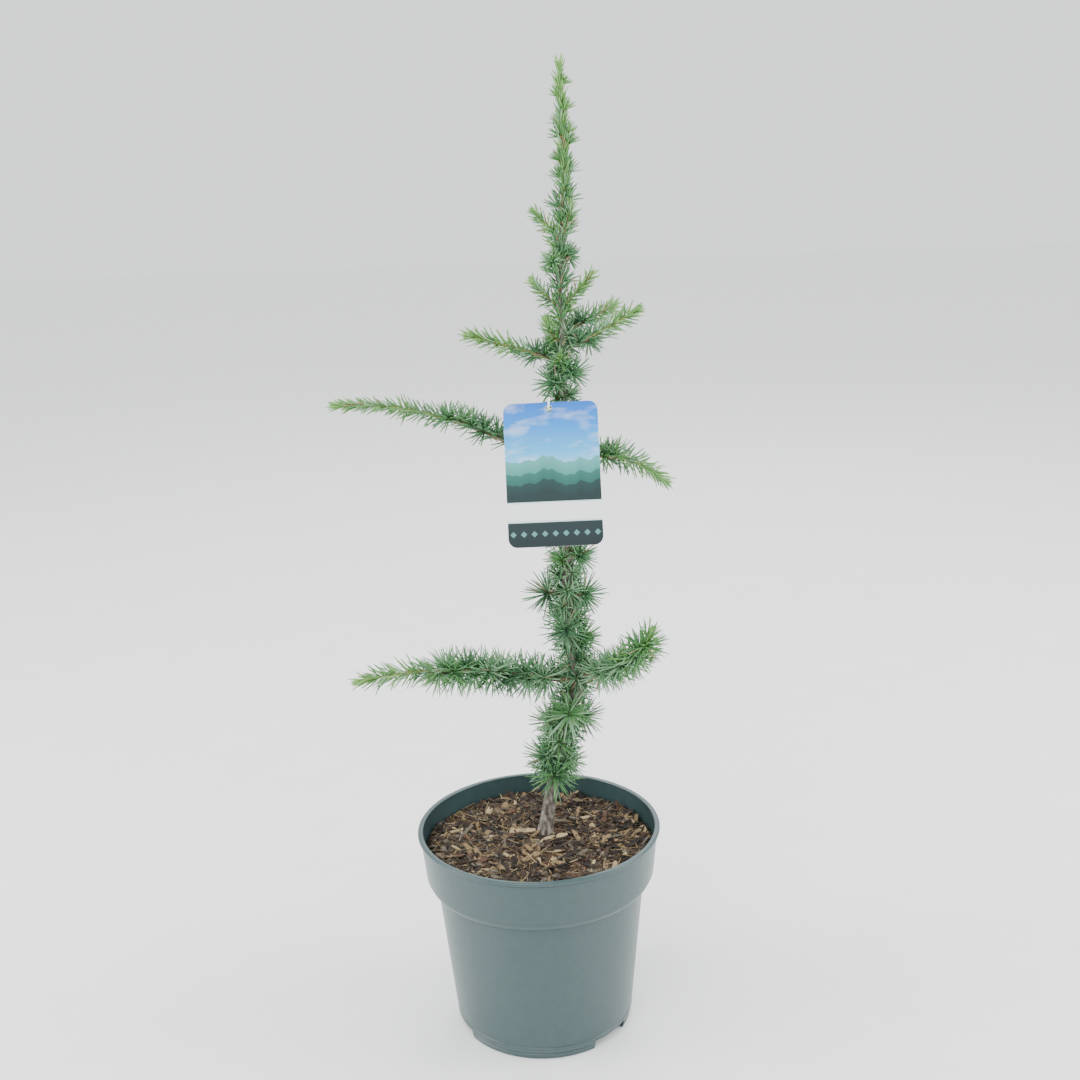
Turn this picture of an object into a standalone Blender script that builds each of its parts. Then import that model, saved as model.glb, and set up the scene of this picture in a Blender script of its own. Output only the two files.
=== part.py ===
# Young cedar of Lebanon in a round moulded container.
# Metres, +Z up. The origin is the centre of the container's flat underside.
# +X is the plant's right, -Y its front.
import math
import random
from collections import namedtuple

import bmesh
import bpy
import numpy as np
from mathutils import Matrix, Quaternion, Vector

MM = 0.001
GAP = 0.3 * MM
SLACK = 0.1 * MM
SEED = 1905

# Container: a 19 cm, three-litre pot.
POT_HEIGHT = 166 * MM
RIM_RADIUS = 95 * MM
LIP_HEIGHT = 3.4 * MM
LIP_WIDTH = 4.2 * MM
BAND_TOP_RADIUS = 93.0 * MM
BAND_FOOT_RADIUS = 89.6 * MM
BAND_HEIGHT = 37 * MM
SHOULDER_HEIGHT = 8 * MM
BODY_TOP_RADIUS = 81.6 * MM
FOOT_HEIGHT = 9 * MM
FOOT_TOP_RADIUS = 70.4 * MM
BASE_RADIUS = 68.5 * MM
BASE_ROUND = 1.2 * MM
WALL = 1.7 * MM
FLOOR = 2.4 * MM
POT_SIDES = 48
NOTCH_COUNT = 3
NOTCH_TOWARD = math.radians(-42)
NOTCH_HEIGHT = 8 * MM
NOTCH_DEPTH = 9 * MM
NOTCH_WIDTH = 36 * MM

# Growing medium, filled to a finger's width under the rim.
SOIL_TOP = POT_HEIGHT - 14 * MM
SOIL_EDGE_DROP = 1.6 * MM
SOIL_SHOULDER_RADIUS = 66 * MM

# Trunk: heights are above the growing medium, offsets are from the foot.
TRUNK_FOOT = Vector((4.8, 12.8)) * MM
TRUNK_HEIGHT = 488 * MM
TRUNK_SIDES = 8
TRUNK_RING_STEP = 12 * MM
TRUNK_BENDS = (
    # height, to the right, to the back
    (0, 0.0, 0.0),
    (30, 5.5, 1.0),
    (83, 16.5, 2.0),
    (125, 29.5, 0.5),
    (153, 25.5, -1.0),
    (186, 23.0, 0.0),
    (260, 24.0, 1.5),
    (367, 24.0, 0.0),
    (392, 26.5, -0.5),
    (438, 24.5, 0.0),
    (502, 29.6, 1.0),
    (540, 29.6, 0.0),
    (590, 27.8, -1.0),
)
TRUNK_GIRTH = (
    # height, diameter: the root flare, then the true taper
    (0, 15.5),
    (7, 12.6),
    (28, 10.2),
    (150, 8.2),
    (250, 7.6),
    (390, 5.8),
    (432, 3.9),
    (502, 3.0),
    (590, 1.6),
)

# A shoot leaves the trunk at a height and heads toward an azimuth, in degrees from
# +X round to +Y. Its rise turns to tip_rise along its length, later for a larger
# late. It has a bare limb, old wood with rosettes of needles, and then new growth
# with single needles. Lift gathers its rosettes on the upper side, from 0 to 1.
Shoot = namedtuple(
    "Shoot",
    "name height toward length rise tip_rise late limb thick thin old_until step lift"
    " old young",
)
SHOOTS = (
    # name, height, toward, length, rise, tip_rise, late, limb, thick, thin,
    # old_until, step, lift, old, young
    Shoot("lower_left", 127, 195, 179, 16, -10, 2.0, 12, 5.0, 1.8, 114, 11, 0.0, 21, 17),
    Shoot("lower_right", 133, 325, 90, 13, 75, 1.5, 10, 4.4, 2.0, 70, 10, 0.0, 19, 16),
    Shoot("lower_back", 119, 88, 52, 24, 10, 1.0, 10, 4.0, 1.8, 40, 11, 0.0, 18, 15),
    Shoot("middle_left", 294, 168, 190, 30, -6, 1.4, 40, 4.4, 1.6, 100, 11, 0.7, 20, 15),
    Shoot("middle_right", 302, 20, 96, 8, -52, 1.2, 24, 3.8, 1.6, 46, 9, 0.5, 17, 16),
    Shoot("middle_back", 262, 82, 104, 16, -6, 1.2, 24, 4.2, 1.6, 62, 12, 0.4, 17, 15),
    Shoot("middle_rear", 300, 101, 84, 18, -4, 1.0, 20, 3.8, 1.6, 48, 12, 0.4, 17, 15),
    Shoot("upper_left", 376, 200, 80, 22, 18, 1.0, 8, 3.0, 1.5, 22, 10, 0.6, 14, 15),
    Shoot("upper_right", 384, 345, 68, 27, 31, 1.0, 8, 3.0, 1.5, 22, 9, 0.3, 15, 15),
    Shoot("upper_rear", 398, 35, 54, 16, 18, 1.0, 8, 2.8, 1.5, 20, 8, 0.4, 14, 15),
    Shoot("upper_back", 380, 98, 52, 26, 20, 1.0, 8, 2.8, 1.5, 20, 10, 0.3, 14, 14),
    Shoot("upper_front", 372, 262, 22, 40, 30, 1.0, 0, 2.4, 1.5, 8, 9, 0.0, 15, 14),
    Shoot("upright_left", 391, 200, 27, 20, 95, 1.0, 0, 2.2, 1.4, 0, 9, 0.0, 13, 13),
    Shoot("pair_left", 416, 160, 33, 30, 55, 1.0, 0, 2.0, 1.3, 0, 9, 0.0, 13, 13),
    Shoot("pair_right", 416, 335, 38, 43, 46, 1.0, 0, 2.0, 1.3, 0, 9, 0.0, 13, 13),
    Shoot("pair_back", 438, 92, 32, 48, 60, 1.0, 0, 2.0, 1.3, 0, 9, 0.0, 13, 13),
    Shoot("top_left", 460, 150, 36, 58, 34, 1.0, 0, 2.0, 1.3, 0, 9, 0.0, 13, 13),
    Shoot("top_right", 464, 330, 31, 55, 93, 1.0, 0, 2.0, 1.3, 0, 9, 0.0, 13, 13),
)

# A spur is a short side bud on the trunk that carries one rosette of needles.
Spur = namedtuple("Spur", "name height toward reach rise needle sides")
SPURS = (
    # name, height, toward, reach, rise, needle, sides
    Spur("foot_front", 54, 266, 12, 0, 24, 8),
    Spur("foot_left", 63, 200, 10, 20, 22, 8),
    Spur("foot_right", 60, 338, 9, 12, 20, 8),
    Spur("foot_back", 68, 92, 11, 12, 22, 8),
    Spur("low_front", 104, 262, 13, 8, 23, 8),
    Spur("low_right", 96, 2, 12, 8, 21, 8),
    Spur("low_left", 92, 190, 12, 16, 20, 8),
    Spur("low_back", 90, 100, 11, 12, 21, 8),
    Spur("stem_right", 161, 345, 10, 20, 20, 8),
    Spur("stem_front", 172, 258, 13, 12, 22, 8),
    Spur("stem_back", 178, 90, 12, 12, 21, 8),
    Spur("stem_left", 199, 182, 14, 4, 22, 8),
    Spur("high_right", 197, 355, 13, 8, 20, 8),
    Spur("high_back", 218, 95, 12, 12, 20, 8),
    Spur("neck_right", 226, 340, 11, 20, 18, 8),
    Spur("neck_left", 246, 186, 10, 30, 17, 7),
    Spur("neck_front", 262, 268, 10, 20, 17, 7),
    Spur("card_front", 334, 268, 10, 20, 16, 7),
    Spur("fan_left", 355, 205, 9, 48, 19, 7),
    Spur("fan_right", 363, 335, 10, 35, 17, 7),
    Spur("crown_left", 444, 205, 7, 42, 12, 5),
    Spur("crown_right", 447, 20, 8, 40, 12, 5),
)

# Needles: a whorl of three on each band of new growth, turned from band to band.
NEEDLE_HALF_WIDTH = 0.75 * MM
BAND_PITCH = 3.6 * MM
BAND_WIDTH = 1.3 * MM
BAND_TURN = math.radians(47)
NEEDLE_LEAN = math.radians(47)
TIP_LEAN = math.radians(22)
BUD_RADIUS = 1.9 * MM
BUD_ROWS = (22, 50, 78, 106, 136)
ROSETTE_LIMIT = math.radians(112)
HEART = 4.5 * MM
ROSETTE_TURN = math.radians(137.5)
UPWARD = math.pi / 2
ROSETTE_FORWARD = math.radians(28)
BOUGH_BUD_SIDES = 6
STEM_RING_STEP = 6 * MM
TIP_NEEDLE = 0.5
LEADER_LENGTH = 102 * MM
LEADER_NEEDLE = 14 * MM
OLD_NEEDLE_SPREAD = (0.86, 1.04)
YOUNG_NEEDLE_SPREAD = (0.85, 1.05)
YOUNG_NEEDLE_TAPER = 0.25
ROSETTE_SCATTER = 0.16
NEEDLE_SCATTER = 0.08
LEAN_SCATTER = 0.14
FIRST_BUD = 2.6 * MM
BUD_SEAT = 0.9
BUD_STEP_SPREAD = (0.9, 1.1)
SPUR_RADIUS = 1.3 * MM
SPUR_BUD_RADIUS = 2.2 * MM
SPUR_SIDES = 4
SPUR_SINK = 0.4 * MM
LIMB_SIDES = 6
LIMB_RING_STEP = 8

# How closely stems and needles are sampled where foliage keeps clear of them.
NEEDLE_SAMPLE = 1.5 * MM
STEM_SAMPLE = 2 * MM
TRUNK_SAMPLE = 2.5 * MM

# Plant card on a loop round the trunk, its foot pushed forward by the foliage.
CARD_WIDTH = 68 * MM
CARD_HEIGHT = 104 * MM
CARD_THICKNESS = 0.9 * MM
CARD_CORNER = 6.5 * MM
CARD_CENTRE = Vector((19.6, -24.0, 453.9)) * MM
CARD_PITCH = math.radians(20)
CARD_ROLL = math.radians(-0.4)
CARD_HOLE_RADIUS = 2.6 * MM
CARD_HOLE_DROP = 4.6 * MM
CARD_HOLE_SIDE = -1.1 * MM
STRAP_RADIUS = 0.8 * MM
STRAP_SIDES = 5
STRAP_STEPS = 4
STRAP_ROUTE = (
    # millimetres from the hole: right, back, up
    (0.0, 0.0, 0.0),
    (0.1, -2.3, 3.2),
    (0.3, 1.2, 7.4),
    (1.2, 7.0, 6.4),
    (4.4, 14.5, 4.4),
    (5.0, 22.0, 3.6),
    (10.1, 27.0, 2.6),
    (15.6, 21.0, 1.8),
    (10.5, 11.0, 0.6),
    (2.6, 3.6, -0.9),
)

# Finishes: sRGB colour, roughness.
POT_FINISH = ("moulded_pot_plastic", "6F7F7E", 0.42)
MULCH_FINISH = ("bark_and_coir_mulch", "5B4030", 0.95)
BARK_FINISH = ("young_cedar_bark", "7D7064", 0.85)
NEEDLE_FINISH = ("cedar_needles", "4A7A55", 0.6)
CARD_FINISH = ("printed_card", "3E8FC4", 0.35)
STRAP_FINISH = ("white_loop_plastic", "EDEFEC", 0.4)


def clear_scene():
    for item in list(bpy.data.objects):
        bpy.data.objects.remove(item, do_unlink=True)


def linear(channel):
    if channel <= 0.04045:
        return channel / 12.92
    return ((channel + 0.055) / 1.055) ** 2.4


def finish(name, colour, roughness):
    """Return the Principled material of that name."""
    if name in bpy.data.materials:
        return bpy.data.materials[name]
    material = bpy.data.materials.new(name)
    material.use_nodes = True
    shader = material.node_tree.nodes["Principled BSDF"]
    channels = [linear(int(colour[k:k + 2], 16) / 255) for k in (0, 2, 4)]
    shader.inputs["Base Color"].default_value = (*channels, 1.0)
    shader.inputs["Roughness"].default_value = roughness
    material.diffuse_color = (*channels, 1.0)
    return material


def new_object(name, mesh, look):
    item = bpy.data.objects.new(name, mesh)
    bpy.context.scene.collection.objects.link(item)
    mesh.materials.append(finish(*look))
    return item


def mesh_from(name, bm):
    bmesh.ops.recalc_face_normals(bm, faces=bm.faces)
    mesh = bpy.data.meshes.new(name)
    bm.to_mesh(mesh)
    bm.free()
    return mesh


def curve_through(rows, steps):
    """Catmull-Rom curve through all but the end rows, with steps points a span."""
    curve = []
    for a, b, c, d in zip(rows, rows[1:], rows[2:], rows[3:]):
        for k in range(steps):
            t = k / steps
            bend = 2 * a - 5 * b + 4 * c - d
            twist = 3 * b - a - 3 * c + d
            curve.append(0.5 * (2 * b + (c - a) * t + bend * t * t + twist * t ** 3))
    return curve


def trunk_curve():
    """Smooth line through the trunk's bends, its ends carried on straight."""
    rows = [Vector(row) for row in TRUNK_BENDS]
    before = rows[0] * 2 - rows[1]
    after = rows[-1] * 2 - rows[-2]
    return curve_through([before] + rows + [after], 6) + [rows[-1]]


TRUNK_CURVE = trunk_curve()


def trunk_point(height):
    """Centre of the trunk at a height above the growing medium."""
    level = height / MM
    heights = [row[0] for row in TRUNK_CURVE]
    right = np.interp(level, heights, [row[1] for row in TRUNK_CURVE])
    back = np.interp(level, heights, [row[2] for row in TRUNK_CURVE])
    x = TRUNK_FOOT.x + right * MM
    y = TRUNK_FOOT.y + back * MM
    return Vector((x, y, SOIL_TOP + height))


def trunk_radius(height):
    heights, widths = zip(*TRUNK_GIRTH)
    return float(np.interp(height / MM, heights, widths)) * MM / 2


def heading(toward, rise):
    flat = math.cos(rise)
    return Vector((flat * math.cos(toward), flat * math.sin(toward), math.sin(rise)))


def shoot_route(shoot, steps=40):
    """Points from the trunk's centre to the shoot's tip."""
    point = trunk_point(shoot.height * MM)
    route = [point]
    for k in range(steps):
        t = ((k + 0.5) / steps) ** shoot.late
        rise = math.radians(shoot.rise + (shoot.tip_rise - shoot.rise) * t)
        step = heading(math.radians(shoot.toward), rise) * shoot.length * MM / steps
        point = point + step
        route.append(point)
    return route


def along(route, distance):
    """Point and direction at a distance along a route."""
    for a, b in zip(route, route[1:]):
        span = (b - a).length
        if distance <= span:
            break
        distance -= span
    direction = (b - a).normalized()
    return a + direction * distance, direction


def route_length(route):
    return sum((b - a).length for a, b in zip(route, route[1:]))


def side_of(direction, angle):
    """Unit vector square to a direction, turned by an angle round it."""
    level = Vector((0, 0, 1)) if abs(direction.z) < 0.9 else Vector((1, 0, 0))
    across = direction.cross(level).normalized()
    return Quaternion(direction, angle) @ across


def ring_points(centre, direction, radius, sides, turn):
    step = 2 * math.pi / sides
    return [centre + side_of(direction, turn + k * step) * radius for k in range(sides)]


def start_beside_trunk(route, radius):
    """Distance along a route at which its end face stands clear of the trunk."""
    distance = 0.0
    clear = False
    while not clear:
        distance += SLACK
        centre, direction = along(route, distance)
        clear = True
        for point in ring_points(centre, direction, radius, 12, 0):
            height = point.z - SOIL_TOP
            axis = trunk_point(height)
            from_axis = math.hypot(point.x - axis.x, point.y - axis.y)
            if from_axis < trunk_radius(height) + GAP + SLACK:
                clear = False
    return distance


class Space:
    """What each mass keeps to: its needles' reach, outside the heart of any other."""

    def __init__(self, to_card):
        self.to_card = to_card
        self.points = []
        self.owners = []
        self.radii = []
        self.needles = []

    def add(self, owner, centres, radii):
        self.points += [tuple(point) for point in centres]
        self.owners += [owner] * len(centres)
        self.radii += list(radii)

    def close(self):
        self.points = np.array(self.points)
        self.owners = np.array(self.owners)
        self.radii = np.array(self.radii)

    def holds(self, owner, root, tip):
        """True if a needle from root to tip stays in the owner's space."""
        samples = max(6, int((tip - root).length / NEEDLE_SAMPLE))
        mine = self.owners == owner
        solid = self.owners == "wood"
        others = ~mine & ~solid
        for k in range(2, samples + 1):
            t = k / samples
            point = np.array(root.lerp(tip, t))
            width = NEEDLE_HALF_WIDTH * (1 - t) + SLACK
            away = np.linalg.norm(self.points - point, axis=1)
            if away[others].min() < HEART + width:
                return False
            room = away - self.radii - width - GAP
            if room[solid].min() < 0:
                return False
            if k * 2 > samples and room[mine].min() < 0:
                return False
            if not self.in_the_open(point, width):
                return False
        return True

    def in_the_open(self, point, width):
        """True if a point is over the mulch and clear of the card."""
        if point[2] < SOIL_TOP + width + GAP:
            return False
        x, y, z = self.to_card @ Vector(point)
        aside = abs(x) > CARD_WIDTH / 2 + width + GAP
        behind = y > CARD_THICKNESS / 2 + width + GAP
        before = y < -CARD_THICKNESS / 2 - width - GAP
        over = abs(z) > CARD_HEIGHT / 2 + width + GAP
        return aside or behind or before or over

    def crossed(self, group, root, tip):
        """True if a needle comes too near one of another group."""
        if not self.needles:
            return False
        starts = np.array([needle[1] for needle in self.needles])
        ends = np.array([needle[2] for needle in self.needles])
        gaps, on_new, on_old = needle_gaps(np.array(root), np.array(tip), starts, ends)
        near = gaps < NEEDLE_HALF_WIDTH * (2 - on_new - on_old) + GAP
        return any(near[k] and self.needles[k][0] != group for k in range(len(near)))


def needle_gaps(root, tip, starts, ends):
    """Least distances from one straight needle to many, and where on each."""
    u = tip - root
    v = ends - starts
    w = root - starts
    uu = u @ u
    vv = np.sum(v * v, axis=1)
    uv = v @ u
    uw = w @ u
    vw = np.sum(v * w, axis=1)
    spread = np.maximum(uu * vv - uv * uv, 1e-16)
    on_new = np.clip((uv * vw - vv * uw) / spread, 0, 1)
    on_old = np.clip((uv * on_new + vw) / vv, 0, 1)
    on_new = np.clip((uv * on_old - uw) / uu, 0, 1)
    between = w + on_new[:, None] * u - on_old[:, None] * v
    return np.linalg.norm(between, axis=1), on_new, on_old


class Mass:
    """One body of foliage: a stem with buds and needles, kept to its own space."""

    def __init__(self, name, space, dice):
        self.name = name
        self.space = space
        self.dice = dice
        self.parts = []

    def accepts(self, root, tip, group):
        """Take a needle up if it stays in its space and crosses no other."""
        group = (self.name, group)
        if not self.space.holds(self.name, root, tip):
            return False
        if self.space.crossed(group, root, tip):
            return False
        self.space.needles.append((group, tuple(root), tuple(tip)))
        return True

    def spike(self, bm, corners, tip):
        apex = bm.verts.new(tip)
        for k, corner in enumerate(corners):
            bm.faces.new((corner, corners[(k + 1) % len(corners)], apex))

    def add_bud(self, centre, axis, needle, sides, radius=BUD_RADIUS):
        """A small round bud whose faces run out into a rosette of needles."""
        bm = bmesh.new()
        turn = self.dice.uniform(0, 2 * math.pi)
        rows = []
        for k, polar in enumerate(BUD_ROWS):
            angle = math.radians(polar)
            middle = centre + axis * math.cos(angle) * radius
            wide = math.sin(angle) * radius
            start = turn + k * math.pi / sides
            ring = ring_points(middle, axis, wide, sides, start)
            rows.append([bm.verts.new(point) for point in ring])
        top = bm.verts.new(centre + axis * radius)
        bottom = bm.verts.new(centre - axis * radius)
        faces = []
        for k in range(sides):
            nxt = (k + 1) % sides
            faces.append((rows[0][k], rows[0][nxt], top))
            bm.faces.new((rows[-1][nxt], rows[-1][k], bottom))
            for low, high in zip(rows, rows[1:]):
                faces.append((high[k], high[nxt], low[nxt], low[k]))
        for corners in faces:
            middle = sum((corner.co for corner in corners), Vector()) / len(corners)
            aim = (middle - centre).normalized()
            aim = (aim + self.jitter(ROSETTE_SCATTER)).normalized()
            length = needle * self.dice.uniform(*OLD_NEEDLE_SPREAD)
            tip = centre + aim * length
            low_enough = aim.angle(axis) < ROSETTE_LIMIT
            if low_enough and self.accepts(middle, tip, len(self.parts) + 1):
                self.spike(bm, corners, tip)
            else:
                bm.faces.new(corners)
        self.parts.append(bm)

    def jitter(self, size):
        return Vector([self.dice.uniform(-size, size) for _ in range(3)])

    def add_stem(self, route, start, thick, thin, plain_until, needle):
        """A three-sided stem: plain old wood, then bands of single needles."""
        bm = bmesh.new()
        end = route_length(route) - needle * TIP_NEEDLE
        distances = [start]
        spiked = [False]
        while distances[-1] + STEM_RING_STEP < plain_until:
            distances.append(distances[-1] + STEM_RING_STEP)
            spiked.append(False)
        while distances[-1] + BAND_PITCH < end:
            distances.append(distances[-1] + BAND_PITCH - BAND_WIDTH)
            spiked.append(True)
            distances.append(distances[-1] + BAND_WIDTH)
            spiked.append(False)
        rings = []
        turn = self.dice.uniform(0, 2 * math.pi)
        for k, distance in enumerate(distances):
            centre, direction = along(route, distance)
            part = (distance - start) / (end - start)
            radius = thick + (thin - thick) * part
            if spiked[k]:
                turn += BAND_TURN
            ring = ring_points(centre, direction, radius, 3, turn)
            rings.append([bm.verts.new(point) for point in ring])
        bm.faces.new(list(reversed(rings[0])))
        for k, (low, high) in enumerate(zip(rings, rings[1:])):
            part = (distances[k] - start) / (end - start)
            for side in range(3):
                nxt = (side + 1) % 3
                corners = (low[side], low[nxt], high[nxt], high[side])
                grown = False
                if spiked[k]:
                    place = distances[k]
                    grown = self.needle_on(bm, corners, route, place, part, needle, k)
                if not grown:
                    bm.faces.new(corners)
        self.spike(bm, rings[-1], route[-1])
        self.parts.insert(0, bm)

    def needle_on(self, bm, corners, route, distance, part, needle, group):
        """Draw one stem face out into a needle that leans towards the tip."""
        centre, direction = along(route, distance)
        middle = sum((corner.co for corner in corners), Vector()) / 4
        outward = middle - centre
        outward = (outward - direction * outward.dot(direction)).normalized()
        lean = NEEDLE_LEAN + (TIP_LEAN - NEEDLE_LEAN) * part ** 3
        lean += self.dice.uniform(-LEAN_SCATTER, LEAN_SCATTER)
        aim = direction * math.cos(lean) + outward * math.sin(lean)
        aim = (aim + self.jitter(NEEDLE_SCATTER)).normalized()
        length = needle * self.dice.uniform(*YOUNG_NEEDLE_SPREAD)
        tip = middle + aim * length * (1 - YOUNG_NEEDLE_TAPER * part)
        if not self.accepts(middle, tip, ("stem", group)):
            return False
        self.spike(bm, corners, tip)
        return True

    def join(self):
        """Fuse the stem and its buds into one closed body."""
        name = "needles_" + self.name
        base = new_object(name, mesh_from(name, self.parts[0]), NEEDLE_FINISH)
        if len(self.parts) == 1:
            return base
        others = bpy.data.collections.new(name + "_buds")
        bpy.context.scene.collection.children.link(others)
        for k, bm in enumerate(self.parts[1:]):
            bud = bpy.data.objects.new(f"{name}_bud_{k}", mesh_from(name, bm))
            others.objects.link(bud)
        plain = base.data.copy()
        for solver in ("EXACT", "MANIFOLD"):
            base.data = plain.copy()
            union = base.modifiers.new("fuse", "BOOLEAN")
            union.operation = "UNION"
            union.operand_type = "COLLECTION"
            union.collection = others
            union.solver = solver
            bpy.context.view_layer.objects.active = base
            bpy.ops.object.modifier_apply(modifier=union.name)
            keep_one_body(base.data)
            if is_closed(base.data):
                break
        for bud in list(others.objects):
            bpy.data.objects.remove(bud, do_unlink=True)
        bpy.data.collections.remove(others)
        return base


def keep_one_body(mesh):
    """Drop loose scrap: keep the piece with the most faces."""
    bm = bmesh.new()
    bm.from_mesh(mesh)
    bmesh.ops.remove_doubles(bm, verts=bm.verts, dist=1e-7)
    bm.faces.ensure_lookup_table()
    left = set(bm.faces)
    bodies = []
    while left:
        body = set()
        front = [left.pop()]
        while front:
            face = front.pop()
            body.add(face)
            for edge in face.edges:
                for near in edge.link_faces:
                    if near in left:
                        left.remove(near)
                        front.append(near)
        bodies.append(body)
    bodies.sort(key=len)
    for body in bodies[:-1]:
        bmesh.ops.delete(bm, geom=list(body), context="FACES")
    bm.to_mesh(mesh)
    bm.free()


def is_closed(mesh):
    bm = bmesh.new()
    bm.from_mesh(mesh)
    closed = all(len(edge.link_faces) == 2 for edge in bm.edges)
    closed = closed and bm.calc_volume(signed=True) > 0
    bm.free()
    return closed


def spin_profile(profile, sides):
    """Turn a closed outline of (radius, height) points round the Z axis."""
    bm = bmesh.new()
    rings = []
    for radius, height in profile:
        if radius < 1e-6:
            rings.append([bm.verts.new((0, 0, height))])
        else:
            ring = ring_points(Vector((0, 0, height)), Vector((0, 0, 1)), radius, sides, 0)
            rings.append([bm.verts.new(point) for point in ring])
    pairs = list(zip(rings, rings[1:]))
    for low, high in pairs:
        for k in range(sides):
            nxt = (k + 1) % sides
            if len(low) == 1:
                bm.faces.new((low[0], high[nxt], high[k]))
            elif len(high) == 1:
                bm.faces.new((low[k], low[nxt], high[0]))
            else:
                bm.faces.new((low[k], low[nxt], high[nxt], high[k]))
    return bm


def arc(centre, radius, start, end, steps):
    """Points of an arc in the profile's plane, angles in degrees."""
    points = []
    for k in range(steps + 1):
        angle = math.radians(start + (end - start) * k / steps)
        points.append((centre[0] + radius * math.cos(angle),
                       centre[1] + radius * math.sin(angle)))
    return points


def outer_profile():
    """Outside of the container from the underside's centre to the lip's top."""
    shoulder_foot = POT_HEIGHT - BAND_HEIGHT - SHOULDER_HEIGHT
    shoulder_width = BAND_FOOT_RADIUS - BODY_TOP_RADIUS
    lip_round = LIP_HEIGHT / 2
    lip_middle = RIM_RADIUS - lip_round
    points = [(0, 0)]
    points += arc((BASE_RADIUS - BASE_ROUND, BASE_ROUND), BASE_ROUND, -90, 0, 2)
    points.append((FOOT_TOP_RADIUS, FOOT_HEIGHT))
    points.append((BODY_TOP_RADIUS, shoulder_foot))
    for k in range(1, 5):
        angle = math.pi / 2 * k / 4
        wide = BODY_TOP_RADIUS + shoulder_width * math.sin(angle)
        high = shoulder_foot + SHOULDER_HEIGHT * (1 - math.cos(angle))
        points.append((wide, high))
    points.append((BAND_TOP_RADIUS, POT_HEIGHT - LIP_HEIGHT))
    points += arc((lip_middle, POT_HEIGHT - lip_round), lip_round, -60, 90, 4)
    return points


def inner_profile(inset):
    """Inside of the container from the lip's inner edge down to the floor."""
    shoulder_foot = POT_HEIGHT - BAND_HEIGHT - SHOULDER_HEIGHT
    wall = WALL + inset
    return [
        (BAND_TOP_RADIUS - wall, POT_HEIGHT - LIP_HEIGHT),
        (BAND_FOOT_RADIUS - wall, POT_HEIGHT - BAND_HEIGHT),
        (BODY_TOP_RADIUS - wall, shoulder_foot - WALL),
        (FOOT_TOP_RADIUS - wall, FOOT_HEIGHT + FLOOR + inset),
        (0, FOOT_HEIGHT + FLOOR + inset),
    ]


def make_pot():
    lip_inner = (RIM_RADIUS - LIP_WIDTH, POT_HEIGHT - 0.6 * MM)
    profile = outer_profile() + [lip_inner] + inner_profile(0)
    mesh = mesh_from("pot", spin_profile(profile, POT_SIDES))
    pot = new_object("pot", mesh, POT_FINISH)
    for k in range(NOTCH_COUNT):
        angle = NOTCH_TOWARD + 2 * math.pi * k / NOTCH_COUNT
        cutter = notch_cutter(k, angle)
        cut = pot.modifiers.new(f"drain_notch_{k}", "BOOLEAN")
        cut.operation = "DIFFERENCE"
        cut.object = cutter
    return pot


def notch_cutter(number, angle):
    """Block that cuts one drain notch into the foot."""
    bm = bmesh.new()
    bmesh.ops.create_cube(bm, size=1.0)
    radius = BASE_RADIUS + NOTCH_DEPTH
    size = Matrix.Diagonal((NOTCH_DEPTH * 4, NOTCH_WIDTH, NOTCH_HEIGHT * 2, 1))
    away = Matrix.Translation((radius, 0, 0))
    bmesh.ops.transform(bm, matrix=Matrix.Rotation(angle, 4, "Z") @ away @ size, verts=bm.verts)
    cutter = bpy.data.objects.new(f"notch_cutter_{number}", mesh_from("cutter", bm))
    bpy.context.scene.collection.objects.link(cutter)
    cutter.hide_render = True
    cutter.display_type = "WIRE"
    return cutter


def make_mulch():
    """The growing medium fills the container up to its level."""
    edge_level = SOIL_TOP - SOIL_EDGE_DROP
    wall = inner_profile(GAP)
    slope = (wall[0][0] - wall[1][0]) / (wall[0][1] - wall[1][1])
    edge_radius = wall[1][0] + slope * (edge_level - wall[1][1])
    rows = list(reversed(wall[1:])) + [(edge_radius, edge_level)]
    rows += [(SOIL_SHOULDER_RADIUS, SOIL_TOP), (0, SOIL_TOP)]
    mesh = mesh_from("bark_mulch", spin_profile(rows, POT_SIDES))
    return new_object("bark_mulch", mesh, MULCH_FINISH)


def tube_mesh(name, rings):
    """Closed tube through rings of corner points."""
    bm = bmesh.new()
    loops = [[bm.verts.new(point) for point in ring] for ring in rings]
    bm.faces.new(list(reversed(loops[0])))
    bm.faces.new(loops[-1])
    for low, high in zip(loops, loops[1:]):
        for k in range(len(low)):
            nxt = (k + 1) % len(low)
            bm.faces.new((low[k], low[nxt], high[nxt], high[k]))
    return mesh_from(name, bm)


def make_trunk():
    """Level rings from the flat cut on the mulch up to the leading shoot."""
    count = round(TRUNK_HEIGHT / TRUNK_RING_STEP)
    flare = [GAP, 2 * MM, 7 * MM]
    heights = flare + [TRUNK_HEIGHT * k / count for k in range(1, count + 1)]
    rings = []
    for height in heights:
        centre = trunk_point(height)
        rings.append(ring_points(centre, Vector((0, 0, 1)), trunk_radius(height),
                                 TRUNK_SIDES, 0))
    return new_object("trunk", tube_mesh("trunk", rings), BARK_FINISH)


def shoot_radius(shoot, distance):
    part = distance / (shoot.length * MM)
    return (shoot.thick + (shoot.thin - shoot.thick) * part) * MM / 2


def make_limb(shoot, route):
    """The bare part of a bough, a tapering limb that stops at its foliage."""
    start = start_beside_trunk(route, shoot_radius(shoot, 0))
    end = start + shoot.limb * MM
    count = max(2, round(shoot.limb / LIMB_RING_STEP))
    rings = []
    for k in range(count + 1):
        distance = start + (end - start) * k / count
        centre, direction = along(route, distance)
        radius = shoot_radius(shoot, distance)
        rings.append(ring_points(centre, direction, radius, LIMB_SIDES, 0))
    name = "bough_" + shoot.name
    new_object(name, tube_mesh(name, rings), BARK_FINISH)


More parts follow.
